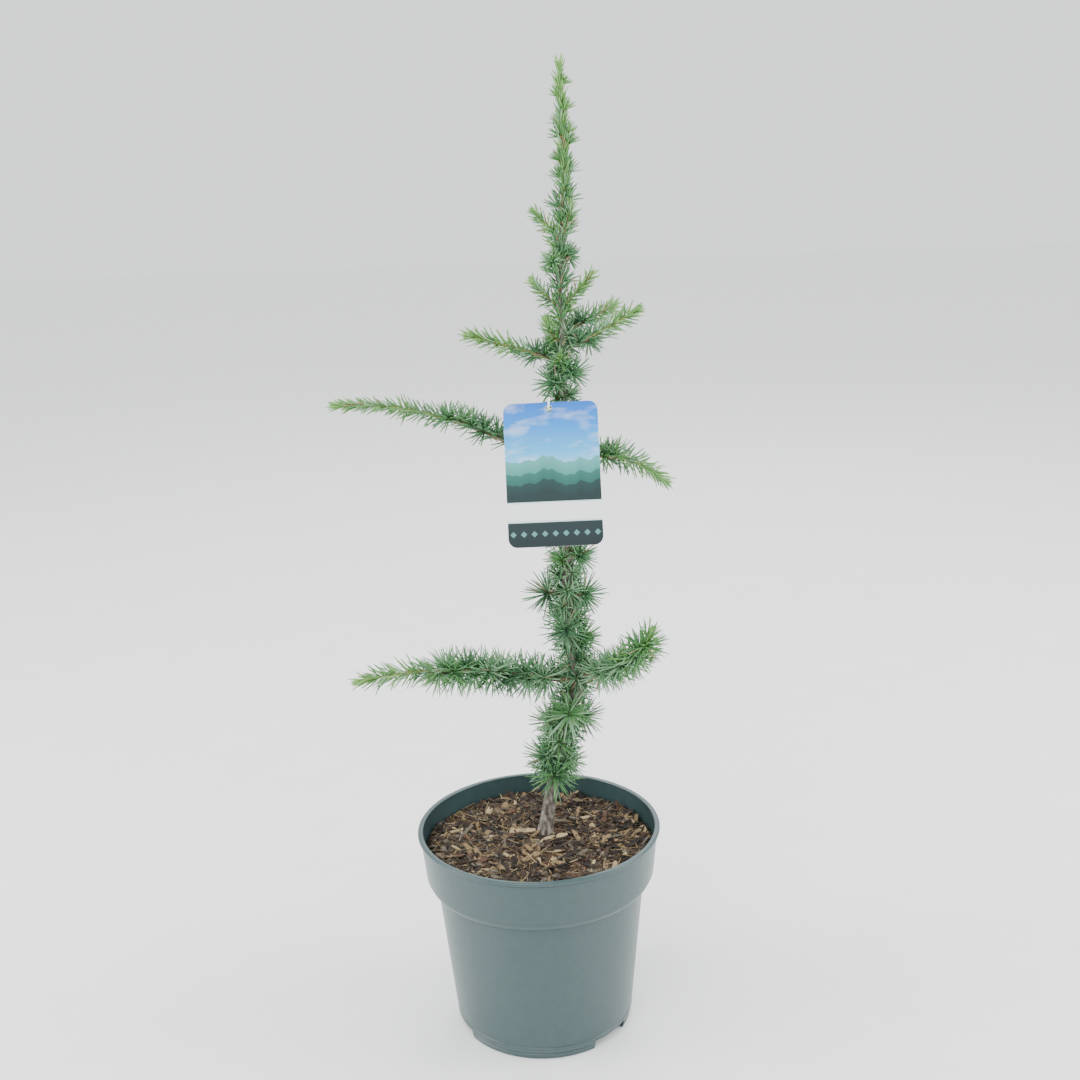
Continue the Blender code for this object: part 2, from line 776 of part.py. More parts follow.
def foliage_start(shoot, route):
    start = start_beside_trunk(route, shoot_radius(shoot, 0))
    if shoot.limb:
        start += shoot.limb * MM + GAP
    return start


def grow_shoot(shoot, space, dice):
    """The foliage of one shoot, as one body."""
    route = shoot_route(shoot)
    start = foliage_start(shoot, route)
    mass = Mass(shoot.name, space, dice)
    old_end = max(start, shoot.old_until * MM)
    turn = dice.uniform(-math.pi, math.pi)
    place = start + FIRST_BUD
    while place < old_end:
        centre, direction = along(route, place)
        side = side_of(direction, turn * (1 - shoot.lift) - UPWARD)
        axis = side * math.cos(ROSETTE_FORWARD) + direction * math.sin(ROSETTE_FORWARD)
        bud = centre + side * shoot_radius(shoot, place) * BUD_SEAT
        mass.add_bud(bud, axis.normalized(), shoot.old * MM, BOUGH_BUD_SIDES)
        place += shoot.step * MM * dice.uniform(*BUD_STEP_SPREAD)
        turn = (turn + ROSETTE_TURN + math.pi) % (2 * math.pi) - math.pi
    thick = shoot_radius(shoot, start)
    thin = shoot.thin * MM / 2
    mass.add_stem(route, start, thick, thin, old_end, shoot.young * MM)
    mass.join()


def spur_route(spur):
    foot = trunk_point(spur.height * MM)
    aim = heading(math.radians(spur.toward), math.radians(spur.rise))
    return [foot, foot + aim * spur.reach * MM]


def grow_spur(spur, space, dice):
    """One rosette on its short spur."""
    route = spur_route(spur)
    aim = (route[1] - route[0]).normalized()
    start = start_beside_trunk(route, SPUR_RADIUS)
    mass = Mass(spur.name, space, dice)
    mass.add_bud(route[1], aim, spur.needle * MM, spur.sides, SPUR_BUD_RADIUS)
    base = [along(route, start)[0], route[1] + aim * SPUR_SINK]
    bm = bmesh.new()
    loops = []
    for centre in base:
        ring = ring_points(centre, aim, SPUR_RADIUS, SPUR_SIDES, 0)
        loops.append([bm.verts.new(point) for point in ring])
    bm.faces.new(list(reversed(loops[0])))
    bm.faces.new(loops[1])
    for k in range(SPUR_SIDES):
        nxt = (k + 1) % SPUR_SIDES
        bm.faces.new((loops[0][k], loops[0][nxt], loops[1][nxt], loops[1][k]))
    mass.parts.insert(0, bm)
    mass.join()


def leader_route():
    """The year's leading shoot, which carries the trunk's line to its tip."""
    steps = 24
    route = []
    for k in range(steps + 1):
        height = TRUNK_HEIGHT + GAP + (LEADER_LENGTH - GAP) * k / steps
        route.append(trunk_point(height))
    return route


def grow_leader(space, dice):
    route = leader_route()
    mass = Mass("leader", space, dice)
    thick = trunk_radius(TRUNK_HEIGHT)
    thin = trunk_radius(TRUNK_HEIGHT + LEADER_LENGTH)
    mass.add_stem(route, 0.0, thick, thin, 0.0, LEADER_NEEDLE)
    mass.join()


def card_place():
    """Where the card hangs: its foot is forward, its top leans on the trunk's side."""
    pitch = Matrix.Rotation(-CARD_PITCH, 4, "X")
    roll = Matrix.Rotation(CARD_ROLL, 4, "Y")
    return Matrix.Translation(CARD_CENTRE) @ roll @ pitch


def card_hole():
    drop = CARD_HEIGHT / 2 - CARD_HOLE_DROP
    return card_place() @ Vector((CARD_HOLE_SIDE, 0, drop))


def make_card():
    """Round-cornered plastic card with a punched hole."""
    bm = bmesh.new()
    half_wide = CARD_WIDTH / 2 - CARD_CORNER
    half_high = CARD_HEIGHT / 2 - CARD_CORNER
    outline = []
    for sx, sz, start in ((1, -1, -90), (1, 1, 0), (-1, 1, 90), (-1, -1, 180)):
        centre = (sx * half_wide, sz * half_high)
        outline += arc(centre, CARD_CORNER, start, start + 90, 4)
    corners = [bm.verts.new((x, -CARD_THICKNESS / 2, z)) for x, z in outline]
    face = bm.faces.new(corners)
    grown = bmesh.ops.extrude_face_region(bm, geom=[face])
    moved = [item for item in grown["geom"] if isinstance(item, bmesh.types.BMVert)]
    bmesh.ops.translate(bm, vec=(0, CARD_THICKNESS, 0), verts=moved)
    bmesh.ops.transform(bm, matrix=card_place(), verts=bm.verts)
    card = new_object("label_card", mesh_from("label_card", bm), CARD_FINISH)
    punch = bmesh.new()
    bmesh.ops.create_cone(punch, cap_ends=True, segments=16, radius1=CARD_HOLE_RADIUS,
                          radius2=CARD_HOLE_RADIUS, depth=CARD_THICKNESS * 4)
    lie_back = Matrix.Rotation(math.pi / 2 - CARD_PITCH, 4, "X")
    place = Matrix.Translation(card_hole()) @ lie_back
    bmesh.ops.transform(punch, matrix=place, verts=punch.verts)
    cutter = bpy.data.objects.new("card_punch", mesh_from("card_punch", punch))
    bpy.context.scene.collection.objects.link(cutter)
    cutter.hide_render = True
    cutter.display_type = "WIRE"
    cut = card.modifiers.new("punched_hole", "BOOLEAN")
    cut.operation = "DIFFERENCE"
    cut.object = cutter


def strap_points():
    """Closed smooth loop: through the hole, over the card's top, round the trunk."""
    hole = card_hole()
    rows = [hole + Vector(row) * MM for row in STRAP_ROUTE]
    return curve_through([rows[-1]] + rows + rows[:2], STRAP_STEPS)


def make_strap():
    """Closed loop through the card's hole and round the trunk."""
    bm = bmesh.new()
    curve = strap_points()
    count = len(curve)
    across = Vector((1, 0, 0))
    rings = []
    for k, point in enumerate(curve):
        direction = (curve[(k + 1) % count] - curve[k - 1]).normalized()
        across = (across - direction * across.dot(direction)).normalized()
        other = direction.cross(across)
        ring = []
        for side in range(STRAP_SIDES):
            angle = 2 * math.pi * side / STRAP_SIDES
            offset = across * math.cos(angle) + other * math.sin(angle)
            ring.append(bm.verts.new(point + offset * STRAP_RADIUS))
        rings.append(ring)
    last, first = rings[-1], rings[0]
    shift = min(range(STRAP_SIDES), key=lambda s: (last[0].co - first[s].co).length)
    rings.append(first[shift:] + first[:shift])
    for low, high in zip(rings, rings[1:]):
        for k in range(STRAP_SIDES):
            nxt = (k + 1) % STRAP_SIDES
            bm.faces.new((low[k], low[nxt], high[nxt], high[k]))
    new_object("label_strap", mesh_from("label_strap", bm), STRAP_FINISH)


def lay_out_space():
    """Record every stem, limb and the strap, so that foliage keeps clear."""
    space = Space(card_place().inverted())
    top = int(TRUNK_HEIGHT / TRUNK_SAMPLE)
    heights = [k * TRUNK_SAMPLE for k in range(top + 1)]
    space.add("wood", [trunk_point(h) for h in heights], [trunk_radius(h) for h in heights])
    leader = leader_route()
    space.add("leader", leader, [trunk_radius(p.z - SOIL_TOP) for p in leader])
    space.add("wood", strap_points(), [STRAP_RADIUS] * len(strap_points()))
    for shoot in SHOOTS:
        route = shoot_route(shoot)
        start = foliage_start(shoot, route)
        distance = start_beside_trunk(route, shoot_radius(shoot, 0))
        while distance < route_length(route):
            owner = shoot.name if distance >= start else "wood"
            centre = along(route, distance)[0]
            space.add(owner, [centre], [shoot_radius(shoot, distance)])
            distance += STEM_SAMPLE
    for spur in SPURS:
        route = spur_route(spur)
        for distance in (spur.reach * MM * 0.7, spur.reach * MM):
            space.add(spur.name, [along(route, distance)[0]], [BUD_RADIUS])
    space.close()
    return space


def main():
    clear_scene()
    make_pot()
    make_mulch()
    make_trunk()
    make_card()
    make_strap()
    space = lay_out_space()
    for shoot in SHOOTS:
        if shoot.limb:
            make_limb(shoot, shoot_route(shoot))
        grow_shoot(shoot, space, random.Random(f"{SEED}-{shoot.name}"))
    for spur in SPURS:
        grow_spur(spur, space, random.Random(f"{SEED}-{spur.name}"))
    grow_leader(space, random.Random(f"{SEED}-leader"))


main()
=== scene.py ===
# %% [markdown]
# # A young cedar of Lebanon in its nursery pot
#
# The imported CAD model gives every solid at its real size, in metres, with the origin under
# the middle of the pot. This script dresses it: a moulded pot, a bed of bark and coir, bark
# with relief, thousands of needles, and a printed label on its loop. The plant is grown by
# the same rule as the CAD, carried on to single needles at nearly their real width.

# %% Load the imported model
import math
import random

import bpy
import numpy as np
from mathutils import Matrix, Quaternion, Vector, noise


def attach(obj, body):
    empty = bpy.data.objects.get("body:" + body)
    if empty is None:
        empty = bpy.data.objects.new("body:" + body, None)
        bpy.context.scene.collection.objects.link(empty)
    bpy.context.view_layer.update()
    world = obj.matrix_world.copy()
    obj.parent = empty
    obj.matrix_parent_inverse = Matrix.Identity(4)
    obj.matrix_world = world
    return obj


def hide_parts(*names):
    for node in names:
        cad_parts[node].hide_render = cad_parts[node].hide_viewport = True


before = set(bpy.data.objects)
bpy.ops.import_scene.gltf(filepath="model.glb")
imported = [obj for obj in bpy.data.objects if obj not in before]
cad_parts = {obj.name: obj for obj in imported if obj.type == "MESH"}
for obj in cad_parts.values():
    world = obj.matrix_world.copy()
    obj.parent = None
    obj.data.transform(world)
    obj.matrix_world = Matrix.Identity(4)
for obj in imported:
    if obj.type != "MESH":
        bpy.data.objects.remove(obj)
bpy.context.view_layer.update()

MM = 0.001
SEED = 1905

# %% [markdown]
# ## Camera
#
# The photograph looks down on the pot by about 16 degrees from 1.2 m away, through a
# moderately long lens, and it is turned by two degrees. A camera's world matrix holds its
# right, up and backward directions as columns, so those three are given as measured.

# %% The photograph's camera
CAMERA_PLACE = Vector((0.0, -1.06968, 0.70986))
CAMERA_RIGHT = Vector((0.9992861, -0.01787691, -0.03328227))
CAMERA_UP = Vector((0.03695386, 0.27934591, 0.95947917))
CAMERA_BACK = Vector((-0.00785526, -0.9600241, 0.2798071))
LENS = 50
SENSOR = 36

camera_data = bpy.data.cameras.new("photo_camera")
camera_data.lens = LENS
camera_data.sensor_width = SENSOR
camera_data.clip_start = 0.05
camera_data.dof.use_dof = False
camera = bpy.data.objects.new("photo_camera", camera_data)
turn = Matrix((CAMERA_RIGHT, CAMERA_UP, CAMERA_BACK)).transposed().to_4x4()
camera.matrix_world = Matrix.Translation(CAMERA_PLACE) @ turn
bpy.context.scene.collection.objects.link(camera)
bpy.context.scene.camera = camera
print("camera looks along", -CAMERA_BACK)

# %% [markdown]
# ## Small helpers
#
# Colours are written as they look on a screen. Blender's shaders count in linear light, so
# one function converts them. Another adds one node with its settings and links, and every
# material below is made with it.

# %% Colours and nodes


def linear(colour):
    """Turn an sRGB hex colour into linear light."""
    channels = []
    for k in (0, 2, 4):
        share = int(colour[k:k + 2], 16) / 255
        if share <= 0.04045:
            channels.append(share / 12.92)
        else:
            channels.append(((share + 0.055) / 1.055) ** 2.4)
    return (*channels, 1.0)


def add_node(tree, kind, settings=None, links=None):
    """Add one node, with its settings and the links into it."""
    made = tree.nodes.new(kind)
    for name, value in (settings or {}).items():
        if name == "stops":
            ramp = made.color_ramp.elements
            ramp[0].position = value[0][0]
            ramp[-1].position = value[-1][0]
            for place, _ in value[1:-1]:
                ramp.new(place)
            for element, (_, colour) in zip(ramp, value):
                element.color = linear(colour)
        elif isinstance(name, int) or name in made.inputs:
            made.inputs[name].default_value = value
        else:
            setattr(made, name, value)
    for name, source in (links or {}).items():
        tree.links.new(source, made.inputs[name])
    return made


print("mid grey in linear light", round(linear("808080")[0], 4))

# %% [markdown]
# ### A mottled finish
#
# Hardly any real surface has one even tone. A noise over the piece's own coordinates picks
# between close colours, and the same noise lifts the surface a little, so that tone and
# relief go together.

# %% A mottled finish
FIRST_STOP = 0.32
STOP_SPAN = 0.36
GRAIN_DETAIL = 4.0
RELIEF_STRENGTH = 0.7


def start_material(name, roughness):
    """A new material with its shader and a place to read Object coordinates."""
    material = bpy.data.materials.new(name)
    material.use_nodes = True
    tree = material.node_tree
    shader = tree.nodes["Principled BSDF"]
    shader.inputs["Roughness"].default_value = roughness
    place = add_node(tree, "ShaderNodeTexCoord")
    return material, tree, shader, place


def mottled(name, colours, grain, roughness, relief, stretch=(1, 1, 1)):
    """A finish whose colour and relief wander with a grain of that size in metres."""
    material, tree, shader, place = start_material(name, roughness)
    spread = add_node(tree, "ShaderNodeMapping", {"Scale": stretch},
                      {"Vector": place.outputs["Object"]})
    grains = add_node(tree, "ShaderNodeTexNoise",
                      {"Scale": 1 / grain, "Detail": GRAIN_DETAIL},
                      {"Vector": spread.outputs[0]})
    steps = len(colours) - 1
    stops = [(FIRST_STOP + STOP_SPAN * k / steps, colour)
             for k, colour in enumerate(colours)]
    tint = add_node(tree, "ShaderNodeValToRGB", {"stops": stops},
                    {"Fac": grains.outputs["Fac"]})
    bump = add_node(tree, "ShaderNodeBump",
                    {"Strength": RELIEF_STRENGTH, "Distance": relief},
                    {"Height": grains.outputs["Fac"]})
    tree.links.new(tint.outputs["Color"], shader.inputs["Base Color"])
    tree.links.new(bump.outputs["Normal"], shader.inputs["Normal"])
    return material


print("colour stops from", FIRST_STOP, "to", FIRST_STOP + STOP_SPAN)

# %% [markdown]
# ### Handing a piece over
#
# Every finished piece gets its material, rides on the one body, and hides the solids that it
# stands for. Operators act on all that is selected, so a second helper selects one piece
# alone.

# %% Handing a piece over


def settle(piece, material, nodes=()):
    """Give a piece its finish, its body and the solids it stands for."""
    if not piece.data.materials:
        piece.data.materials.append(material)
    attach(piece, "root")
    if nodes:
        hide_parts(*nodes)
    piece.data.calc_loop_triangles()
    print(piece.name, len(piece.data.loop_triangles), "triangles, for", len(nodes), "nodes")


def select_only(piece):
    bpy.ops.object.select_all(action="DESELECT")
    piece.select_set(True)
    bpy.context.view_layer.objects.active = piece


print("solids to stand for", len(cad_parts))

# %% [markdown]
# ## Floor and light
#
# The plant stands on plain pale paper in soft light from all round. A wide lamp on either
# side brightens the flanks of the pot, and one from the upper left models the foliage.

# %% Floor and sky
FLOOR_SIZE = 12
SKY_STRENGTH = 1.45
bpy.ops.object.select_all(action="DESELECT")
bpy.ops.mesh.primitive_plane_add(size=FLOOR_SIZE)
floor = bpy.context.object
floor.name = "studio_floor"
floor.data.materials.append(
    mottled("pale_paper", ("F9F9F8", "FCFCFB"), 60 * MM, 0.9, 0.02 * MM))

world = bpy.data.worlds.new("studio")
world.use_nodes = True
sky = world.node_tree.nodes["Background"]
sky.inputs["Color"].default_value = (0.96, 0.98, 1.0, 1.0)
sky.inputs["Strength"].default_value = SKY_STRENGTH
bpy.context.scene.world = world
print("floor", FLOOR_SIZE, "m wide, sky strength", SKY_STRENGTH)

# %% Lamps
LAMPS_AIM = Vector((0, 0, 0.3))
LAMPS = (
    # name, place, width, power
    ("key", (-0.5, -1.4, 2.1), 1.2, 22),
    ("left", (-1.7, -0.2, 1.1), 1.2, 26),
    ("right", (1.7, -0.1, 1.1), 1.2, 26),
    ("back", (0.3, 1.6, 1.8), 1.2, 18),
)
for name, place, width, power in LAMPS:
    lamp_data = bpy.data.lights.new(name, "AREA")
    lamp_data.shape = "DISK"
    lamp_data.size = width
    lamp_data.energy = power
    lamp = bpy.data.objects.new(name, lamp_data)
    lamp.location = place
    aim = LAMPS_AIM - Vector(place)
    lamp.rotation_euler = aim.to_track_quat("-Z", "Y").to_euler()
    bpy.context.scene.collection.objects.link(lamp)
print("lamps", len(LAMPS))

# %% [markdown]
# ## The pot
#
# A 19 cm pot is injection moulded from polypropylene: one thin wall, wide band under the
# rim, rounded shoulder below it, a small lip and a foot with drain notches. It is a turned
# form, so a disc is laid down at the foot and extruded ring by ring up the outside, over
# the lip and down the inside. Each ring is scaled to its radius. The notches are then cut.

# %% Pot sizes
POT_HEIGHT = 166 * MM
RIM_RADIUS = 95 * MM
LIP_HEIGHT = 3.4 * MM
LIP_WIDTH = 4.2 * MM
BAND_TOP_RADIUS = 93.0 * MM
BAND_FOOT_RADIUS = 89.6 * MM
BAND_HEIGHT = 37 * MM
SHOULDER_HEIGHT = 8 * MM
BODY_TOP_RADIUS = 81.6 * MM
FOOT_HEIGHT = 9 * MM
FOOT_TOP_RADIUS = 70.4 * MM
BASE_RADIUS = 68.5 * MM
BASE_ROUND = 1.2 * MM
WALL = 1.7 * MM
FLOOR = 2.4 * MM
GROOVE = 0.45 * MM
FOOT_GROOVE_AT = 0.5
BODY_GROOVE_AT = 0.02
BAND_LEDGE = 1.0 * MM
LEDGE_DRAFT = 0.1 * MM
LIP_NECK = 0.7 * MM
LIP_START = -75
INNER_EDGE = ((0.4, 0.2), (0.0, 0.7))  # millimetres out from the lip's inside, and down
ROUND_STEPS = 4
SHOULDER_STEPS = 8
LIP_STEPS = 10
POT_SIDES = 160
SHOULDER_FOOT = POT_HEIGHT - BAND_HEIGHT - SHOULDER_HEIGHT
print("pot", POT_HEIGHT, "m high, shoulder from", round(SHOULDER_FOOT, 4))

# %% [markdown]
# ### Its outline
#
# The outline is a list of radius and height. Straight stretches need only their ends, the
# rounds are arcs, and two fine turned lines run round the foot.

# %% Outline


def arc(centre, radius, start, end, steps):
    """Points of an arc in the profile's plane, angles in degrees."""
    points = []
    for k in range(steps + 1):
        angle = math.radians(start + (end - start) * k / steps)
        points.append((centre[0] + radius * math.cos(angle),
                       centre[1] + radius * math.sin(angle)))
    return points


def groove(low, high, share):
    """A fine turned line across the way from low to high, at that share of it."""
    radius = low[0] + (high[0] - low[0]) * share
    height = low[1] + (high[1] - low[1]) * share
    return [(radius, height - GROOVE), (radius - GROOVE, height),
            (radius, height + GROOVE)]


def pot_outside():
    """Outline of the outside, from the rounded base up and over the lip."""
    foot_top = (FOOT_TOP_RADIUS, FOOT_HEIGHT)
    body_top = (BODY_TOP_RADIUS, SHOULDER_FOOT)
    shoulder = BAND_FOOT_RADIUS - BAND_LEDGE - BODY_TOP_RADIUS
    lip_round = LIP_HEIGHT / 2
    lip_middle = (RIM_RADIUS - lip_round, POT_HEIGHT - lip_round)
    base_middle = (BASE_RADIUS - BASE_ROUND, BASE_ROUND)
    points = arc(base_middle, BASE_ROUND, -90, 0, ROUND_STEPS)
    points += groove(points[-1], foot_top, FOOT_GROOVE_AT)
    points.append(foot_top)
    points += groove(foot_top, body_top, BODY_GROOVE_AT)
    points.append(body_top)
    for k in range(1, SHOULDER_STEPS + 1):
        angle = math.pi / 2 * k / SHOULDER_STEPS
        points.append((BODY_TOP_RADIUS + shoulder * math.sin(angle),
                       SHOULDER_FOOT + SHOULDER_HEIGHT * (1 - math.cos(angle))))
    points.append((BAND_FOOT_RADIUS, points[-1][1] + LEDGE_DRAFT))
    points.append((BAND_TOP_RADIUS, POT_HEIGHT - LIP_HEIGHT - LIP_NECK))
    points.append((BAND_TOP_RADIUS - GROOVE, POT_HEIGHT - LIP_HEIGHT))
    points += arc(lip_middle, lip_round, LIP_START, 90, LIP_STEPS)
    return points


def pot_inside(inset):
    """Outline of the inside from the lip down, moved in by an inset."""
    wall = WALL + inset
    return [
        (BAND_TOP_RADIUS - wall, POT_HEIGHT - LIP_HEIGHT),
        (BAND_FOOT_RADIUS - wall, POT_HEIGHT - BAND_HEIGHT),
        (BODY_TOP_RADIUS - wall, SHOULDER_FOOT - WALL),
        (FOOT_TOP_RADIUS - wall, FOOT_HEIGHT + FLOOR + inset),
    ]


print("pot outline rings", len(pot_outside()))

# %% Turn the pot


def turned(name, profile):
    """Extrude a disc ring by ring along an outline of (radius, height) points."""
    radius, height = profile[0]
    bpy.ops.object.select_all(action="DESELECT")
    bpy.ops.mesh.primitive_circle_add(vertices=POT_SIDES, radius=radius, fill_type="NGON",
                                      location=(0, 0, height))
    piece = bpy.context.object
    piece.name = name
    bpy.ops.object.transform_apply(location=True, rotation=True, scale=True)
    bpy.ops.object.mode_set(mode="EDIT")
    for wide, high in profile[1:]:
        lift = {"value": (0, 0, high - height)}
        bpy.ops.mesh.extrude_region_move(TRANSFORM_OT_translate=lift)
        bpy.ops.transform.resize(value=(wide / radius, wide / radius, 1))
        radius, height = wide, high
    bpy.ops.mesh.select_all(action="SELECT")
    bpy.ops.mesh.normals_make_consistent(inside=False)
    bpy.ops.object.mode_set(mode="OBJECT")
    return piece


def cut_away(piece, cutter):
    """Cut one closed form out of a piece, and remove the cutter."""
    select_only(piece)
    cut = piece.modifiers.new("cut", "BOOLEAN")
    cut.operation = "DIFFERENCE"
    cut.object = cutter
    cut.solver = "EXACT"
    bpy.ops.object.modifier_apply(modifier=cut.name)
    bpy.data.objects.remove(cutter, do_unlink=True)


lip_edge = [(RIM_RADIUS - LIP_WIDTH + outward * MM, POT_HEIGHT - drop * MM)
            for outward, drop in INNER_EDGE]
pot = turned("pot_shell", pot_outside() + lip_edge + pot_inside(0))
print("pot faces before the notches", len(pot.data.polygons))

# %% Drain notches
NOTCH_COUNT = 3
NOTCH_TOWARD = math.radians(-42)
NOTCH_HEIGHT = 8 * MM
NOTCH_DEPTH = 9 * MM
NOTCH_WIDTH = 36 * MM
POT_CREASE = math.radians(32)
for k in range(NOTCH_COUNT):
    angle = NOTCH_TOWARD + 2 * math.pi * k / NOTCH_COUNT
    middle = (BASE_RADIUS + NOTCH_DEPTH) * Vector((math.cos(angle), math.sin(angle), 0))
    bpy.ops.object.select_all(action="DESELECT")
    bpy.ops.mesh.primitive_cube_add(size=1, location=middle, rotation=(0, 0, angle))
    notch = bpy.context.object
    # The cutter sticks out past the pot and below it, so no faces coincide.
    notch.scale = (NOTCH_DEPTH * 4, NOTCH_WIDTH, NOTCH_HEIGHT * 2)
    cut_away(pot, notch)
select_only(pot)
bpy.ops.object.shade_smooth_by_angle(angle=POT_CREASE)
print("pot faces", len(pot.data.polygons))

# %% [markdown]
# ### Its finish
#
# Moulded polypropylene with a grey-green master batch. The mould leaves it satin, so its
# highlights are broad and soft. The true grain is under a tenth of a millimetre, too fine
# to show, so only a faint unevenness of the melt is drawn, as coarse as 6 mm.

# %% Pot finish
moulded = mottled("moulded_polypropylene", ("384B4C", "394D4E", "3B4F50"), 6 * MM, 0.34,
                  0.01 * MM)
settle(pot, moulded, ["pot"])

# %% [markdown]
# ## The bed of bark and coir
#
# The pot is filled with composted bark and coir to a finger's width under the rim. Its
# surface rises and falls by a few millimetres, with a small hollow behind the stem. A body
# of the pot's inner shape is turned, and its top is then moved up and down in code. Damp
# compost is nearly black and dull, with crumbs of about 2 mm.

# %% Bed
SOIL_TOP = POT_HEIGHT - 14 * MM
BED_RADIUS = 90 * MM
BED_EDGE = 89.2 * MM
BED_RINGS = np.arange(88.6, 2.0, -2.2)  # radii in millimetres, inwards
BED_THICKNESS = 6 * MM
BED_INSET = 0.3 * MM
LEVEL_DROP = 1.5 * MM
COARSE_WIDTH = 16 * MM
COARSE_RISE = 1.8 * MM
FINE_WIDTH = 5 * MM
FINE_RISE = 1.1 * MM
FINE_LAYER = 0.7
LEVEL_MARGIN = 0.1 * MM
EDGE_START = 66 * MM
EDGE_SPAN = 24 * MM
EDGE_DROP = 1.6 * MM
HOLLOW = Vector((-5, 29, 0)) * MM
HOLLOW_WIDTH = 9 * MM
HOLLOW_DEPTH = 6 * MM


def bed_height(x, y):
    """Level of the loose surface at a place."""
    here = Vector((x, y, 0))
    coarse = noise.noise(here / COARSE_WIDTH) * COARSE_RISE
    fine = noise.noise(Vector((x, y, FINE_LAYER)) / FINE_WIDTH) * FINE_RISE
    away = (here - HOLLOW).length / HOLLOW_WIDTH
    hollow = HOLLOW_DEPTH * math.exp(-away * away)
    edge = max(0.0, math.hypot(x, y) - EDGE_START) / EDGE_SPAN
    return SOIL_TOP - LEVEL_DROP + coarse + fine - hollow - EDGE_DROP * edge


bed_level = SOIL_TOP - BED_THICKNESS
bed_rows = list(reversed(pot_inside(BED_INSET)[1:])) + [(BED_EDGE, bed_level)]
bed_rows += [(radius * MM, bed_level) for radius in BED_RINGS]
bed = turned("mulch_bed", bed_rows)
for corner in bed.data.vertices:
    if corner.co.z > bed_level - LEVEL_MARGIN:
        corner.co.z = bed_height(corner.co.x, corner.co.y)
bed.data.update()
select_only(bed)
bpy.ops.object.shade_smooth()
damp_compost = mottled("damp_compost", ("120D09", "20170F", "33271B"), 2.2 * MM, 0.95,
                       1.2 * MM)
settle(bed, damp_compost, ["bark_mulch"])

# %% [markdown]
# ## Many small bars
#
# Needles, bark chips and coir fibres are all small bent bars. Each kind is made as one
# joined mesh from arrays: five rings of four corners along a line that bends a little.
# That is 36 triangles for each bar, and one mesh for each colour.

# %% Bars from arrays
CHIP_FORM = ((0.0, 0.7), (0.15, 0.95), (0.5, 1.0), (0.85, 0.88), (1.0, 0.55))
FIBRE_FORM = ((0.0, 0.5), (0.25, 0.95), (0.5, 1.0), (0.75, 0.9), (1.0, 0.4))
NEEDLE_FORM = ((0.0, 0.62), (0.12, 0.92), (0.5, 1.0), (0.86, 0.66), (1.0, 0.12))


def bars(name, rows, form, smooth):
    """One mesh of bars, one for each row.

    A row is start, direction, across, length, bend, width and thickness.
    """
    start, along, across = (np.array([row[k] for row in rows]) for k in range(3))
    length = np.array([row[3] for row in rows])[:, None]
    bend = np.array([row[4] for row in rows])
    width = np.array([row[5] for row in rows])[:, None]
    thick = np.array([row[6] for row in rows])[:, None]
    across = across - along * np.sum(across * along, axis=1)[:, None]
    across = across / np.linalg.norm(across, axis=1)[:, None]
    through = np.cross(along, across)
    rings = []
    for place, share in form:
        middle = start + along * length * place + bend * length * place * place
        for side, face in ((1, -1), (1, 1), (-1, 1), (-1, -1)):
            rings.append(middle + across * width * share * side / 2
                         + through * thick * share * face / 2)
    corners = np.stack(rings, axis=1).reshape(-1, 3)
    count = len(form)
    one = [(3, 2, 1, 0)]
    for ring in range(count - 1):
        for k in range(4):
            nxt = (k + 1) % 4
            low, high = ring * 4, ring * 4 + 4
            one.append((low + k, low + nxt, high + nxt, high + k))
    one.append(tuple(count * 4 - 4 + k for k in range(4)))
    firsts = np.arange(len(rows))[:, None, None] * count * 4
    faces = (np.array(one)[None] + firsts).reshape(-1, 4)
    mesh = bpy.data.meshes.new(name)
    mesh.from_pydata(corners.tolist(), [], faces.tolist())
    mesh.polygons.foreach_set("use_smooth", [smooth] * len(mesh.polygons))
    mesh.update()
    piece = bpy.data.objects.new(name, mesh)
    bpy.context.scene.collection.objects.link(piece)
    return piece


print("triangles a bar", 2 * (4 * (len(NEEDLE_FORM) - 1) + 2))

# %% [markdown]
# ### Bark chips and coir
#
# Chips of pine bark and wood 4 to 25 mm long lie every way on the bed, some tilted, with
# strands and curls of coir among them. Their tones run from nearly black through red-brown
# to straw. Each tone has one mesh of chips and one of fibres, and the dice deal them out.
# Weathered bark and wood are dull, with a grain of 1 to 2 mm.

# %% Tones and sizes of the loose mulch
MULCH_TONES = (
    # name, darker and lighter colour, share of chips, share of fibres
    ("black_bark", ("150F0A", "241B13"), 0.33, 0.12),
    ("brown_bark", ("2F2318", "423427"), 0.30, 0.24),
    ("red_bark", ("412C1D", "563D2A"), 0.11, 0.12),
    ("grey_wood", ("4C453A", "645C4E"), 0.11, 0.14),
    ("tan_wood", ("69563B", "86714F"), 0.11, 0.24),
    ("straw_wood", ("8D7958", "AE9D7A"), 0.04, 0.14),
)
CHIP_COUNT = 2300
CHIP_LENGTHS = (4, 25, 9)  # millimetres: shortest, longest, usual
CHIP_SLIMNESS = (0.10, 0.32)
CHIP_WIDEST = 4.4 * MM
CHIP_THICKNESS = (0.6, 1.5)
CHIP_TILT = 0.34
CHIP_CURL = 0.05
FIBRE_COUNT = 3200
FIBRE_LENGTHS = (7, 26, 12)
FIBRE_WIDTHS = (0.35, 0.85)
FIBRE_FLATNESS = 0.7
FIBRE_RISE = 0.05
FIBRE_TILT = 0.16
FIBRE_CURL = 0.42
LYING_HEIGHTS = (0.2, 1.9)
DEEPEST_END = 2.5 * MM
RIM_GAP = 1.5 * MM
SIDE_TILT = 0.35
BOW_RANGE = (-0.06, 0.10)
STEM_FOOT = Vector((4.8, 12.8)) * MM
STEM_FOOT_RADIUS = 7.5 * MM
print("chips", CHIP_COUNT, "fibres", FIBRE_COUNT)

# %% Scatter


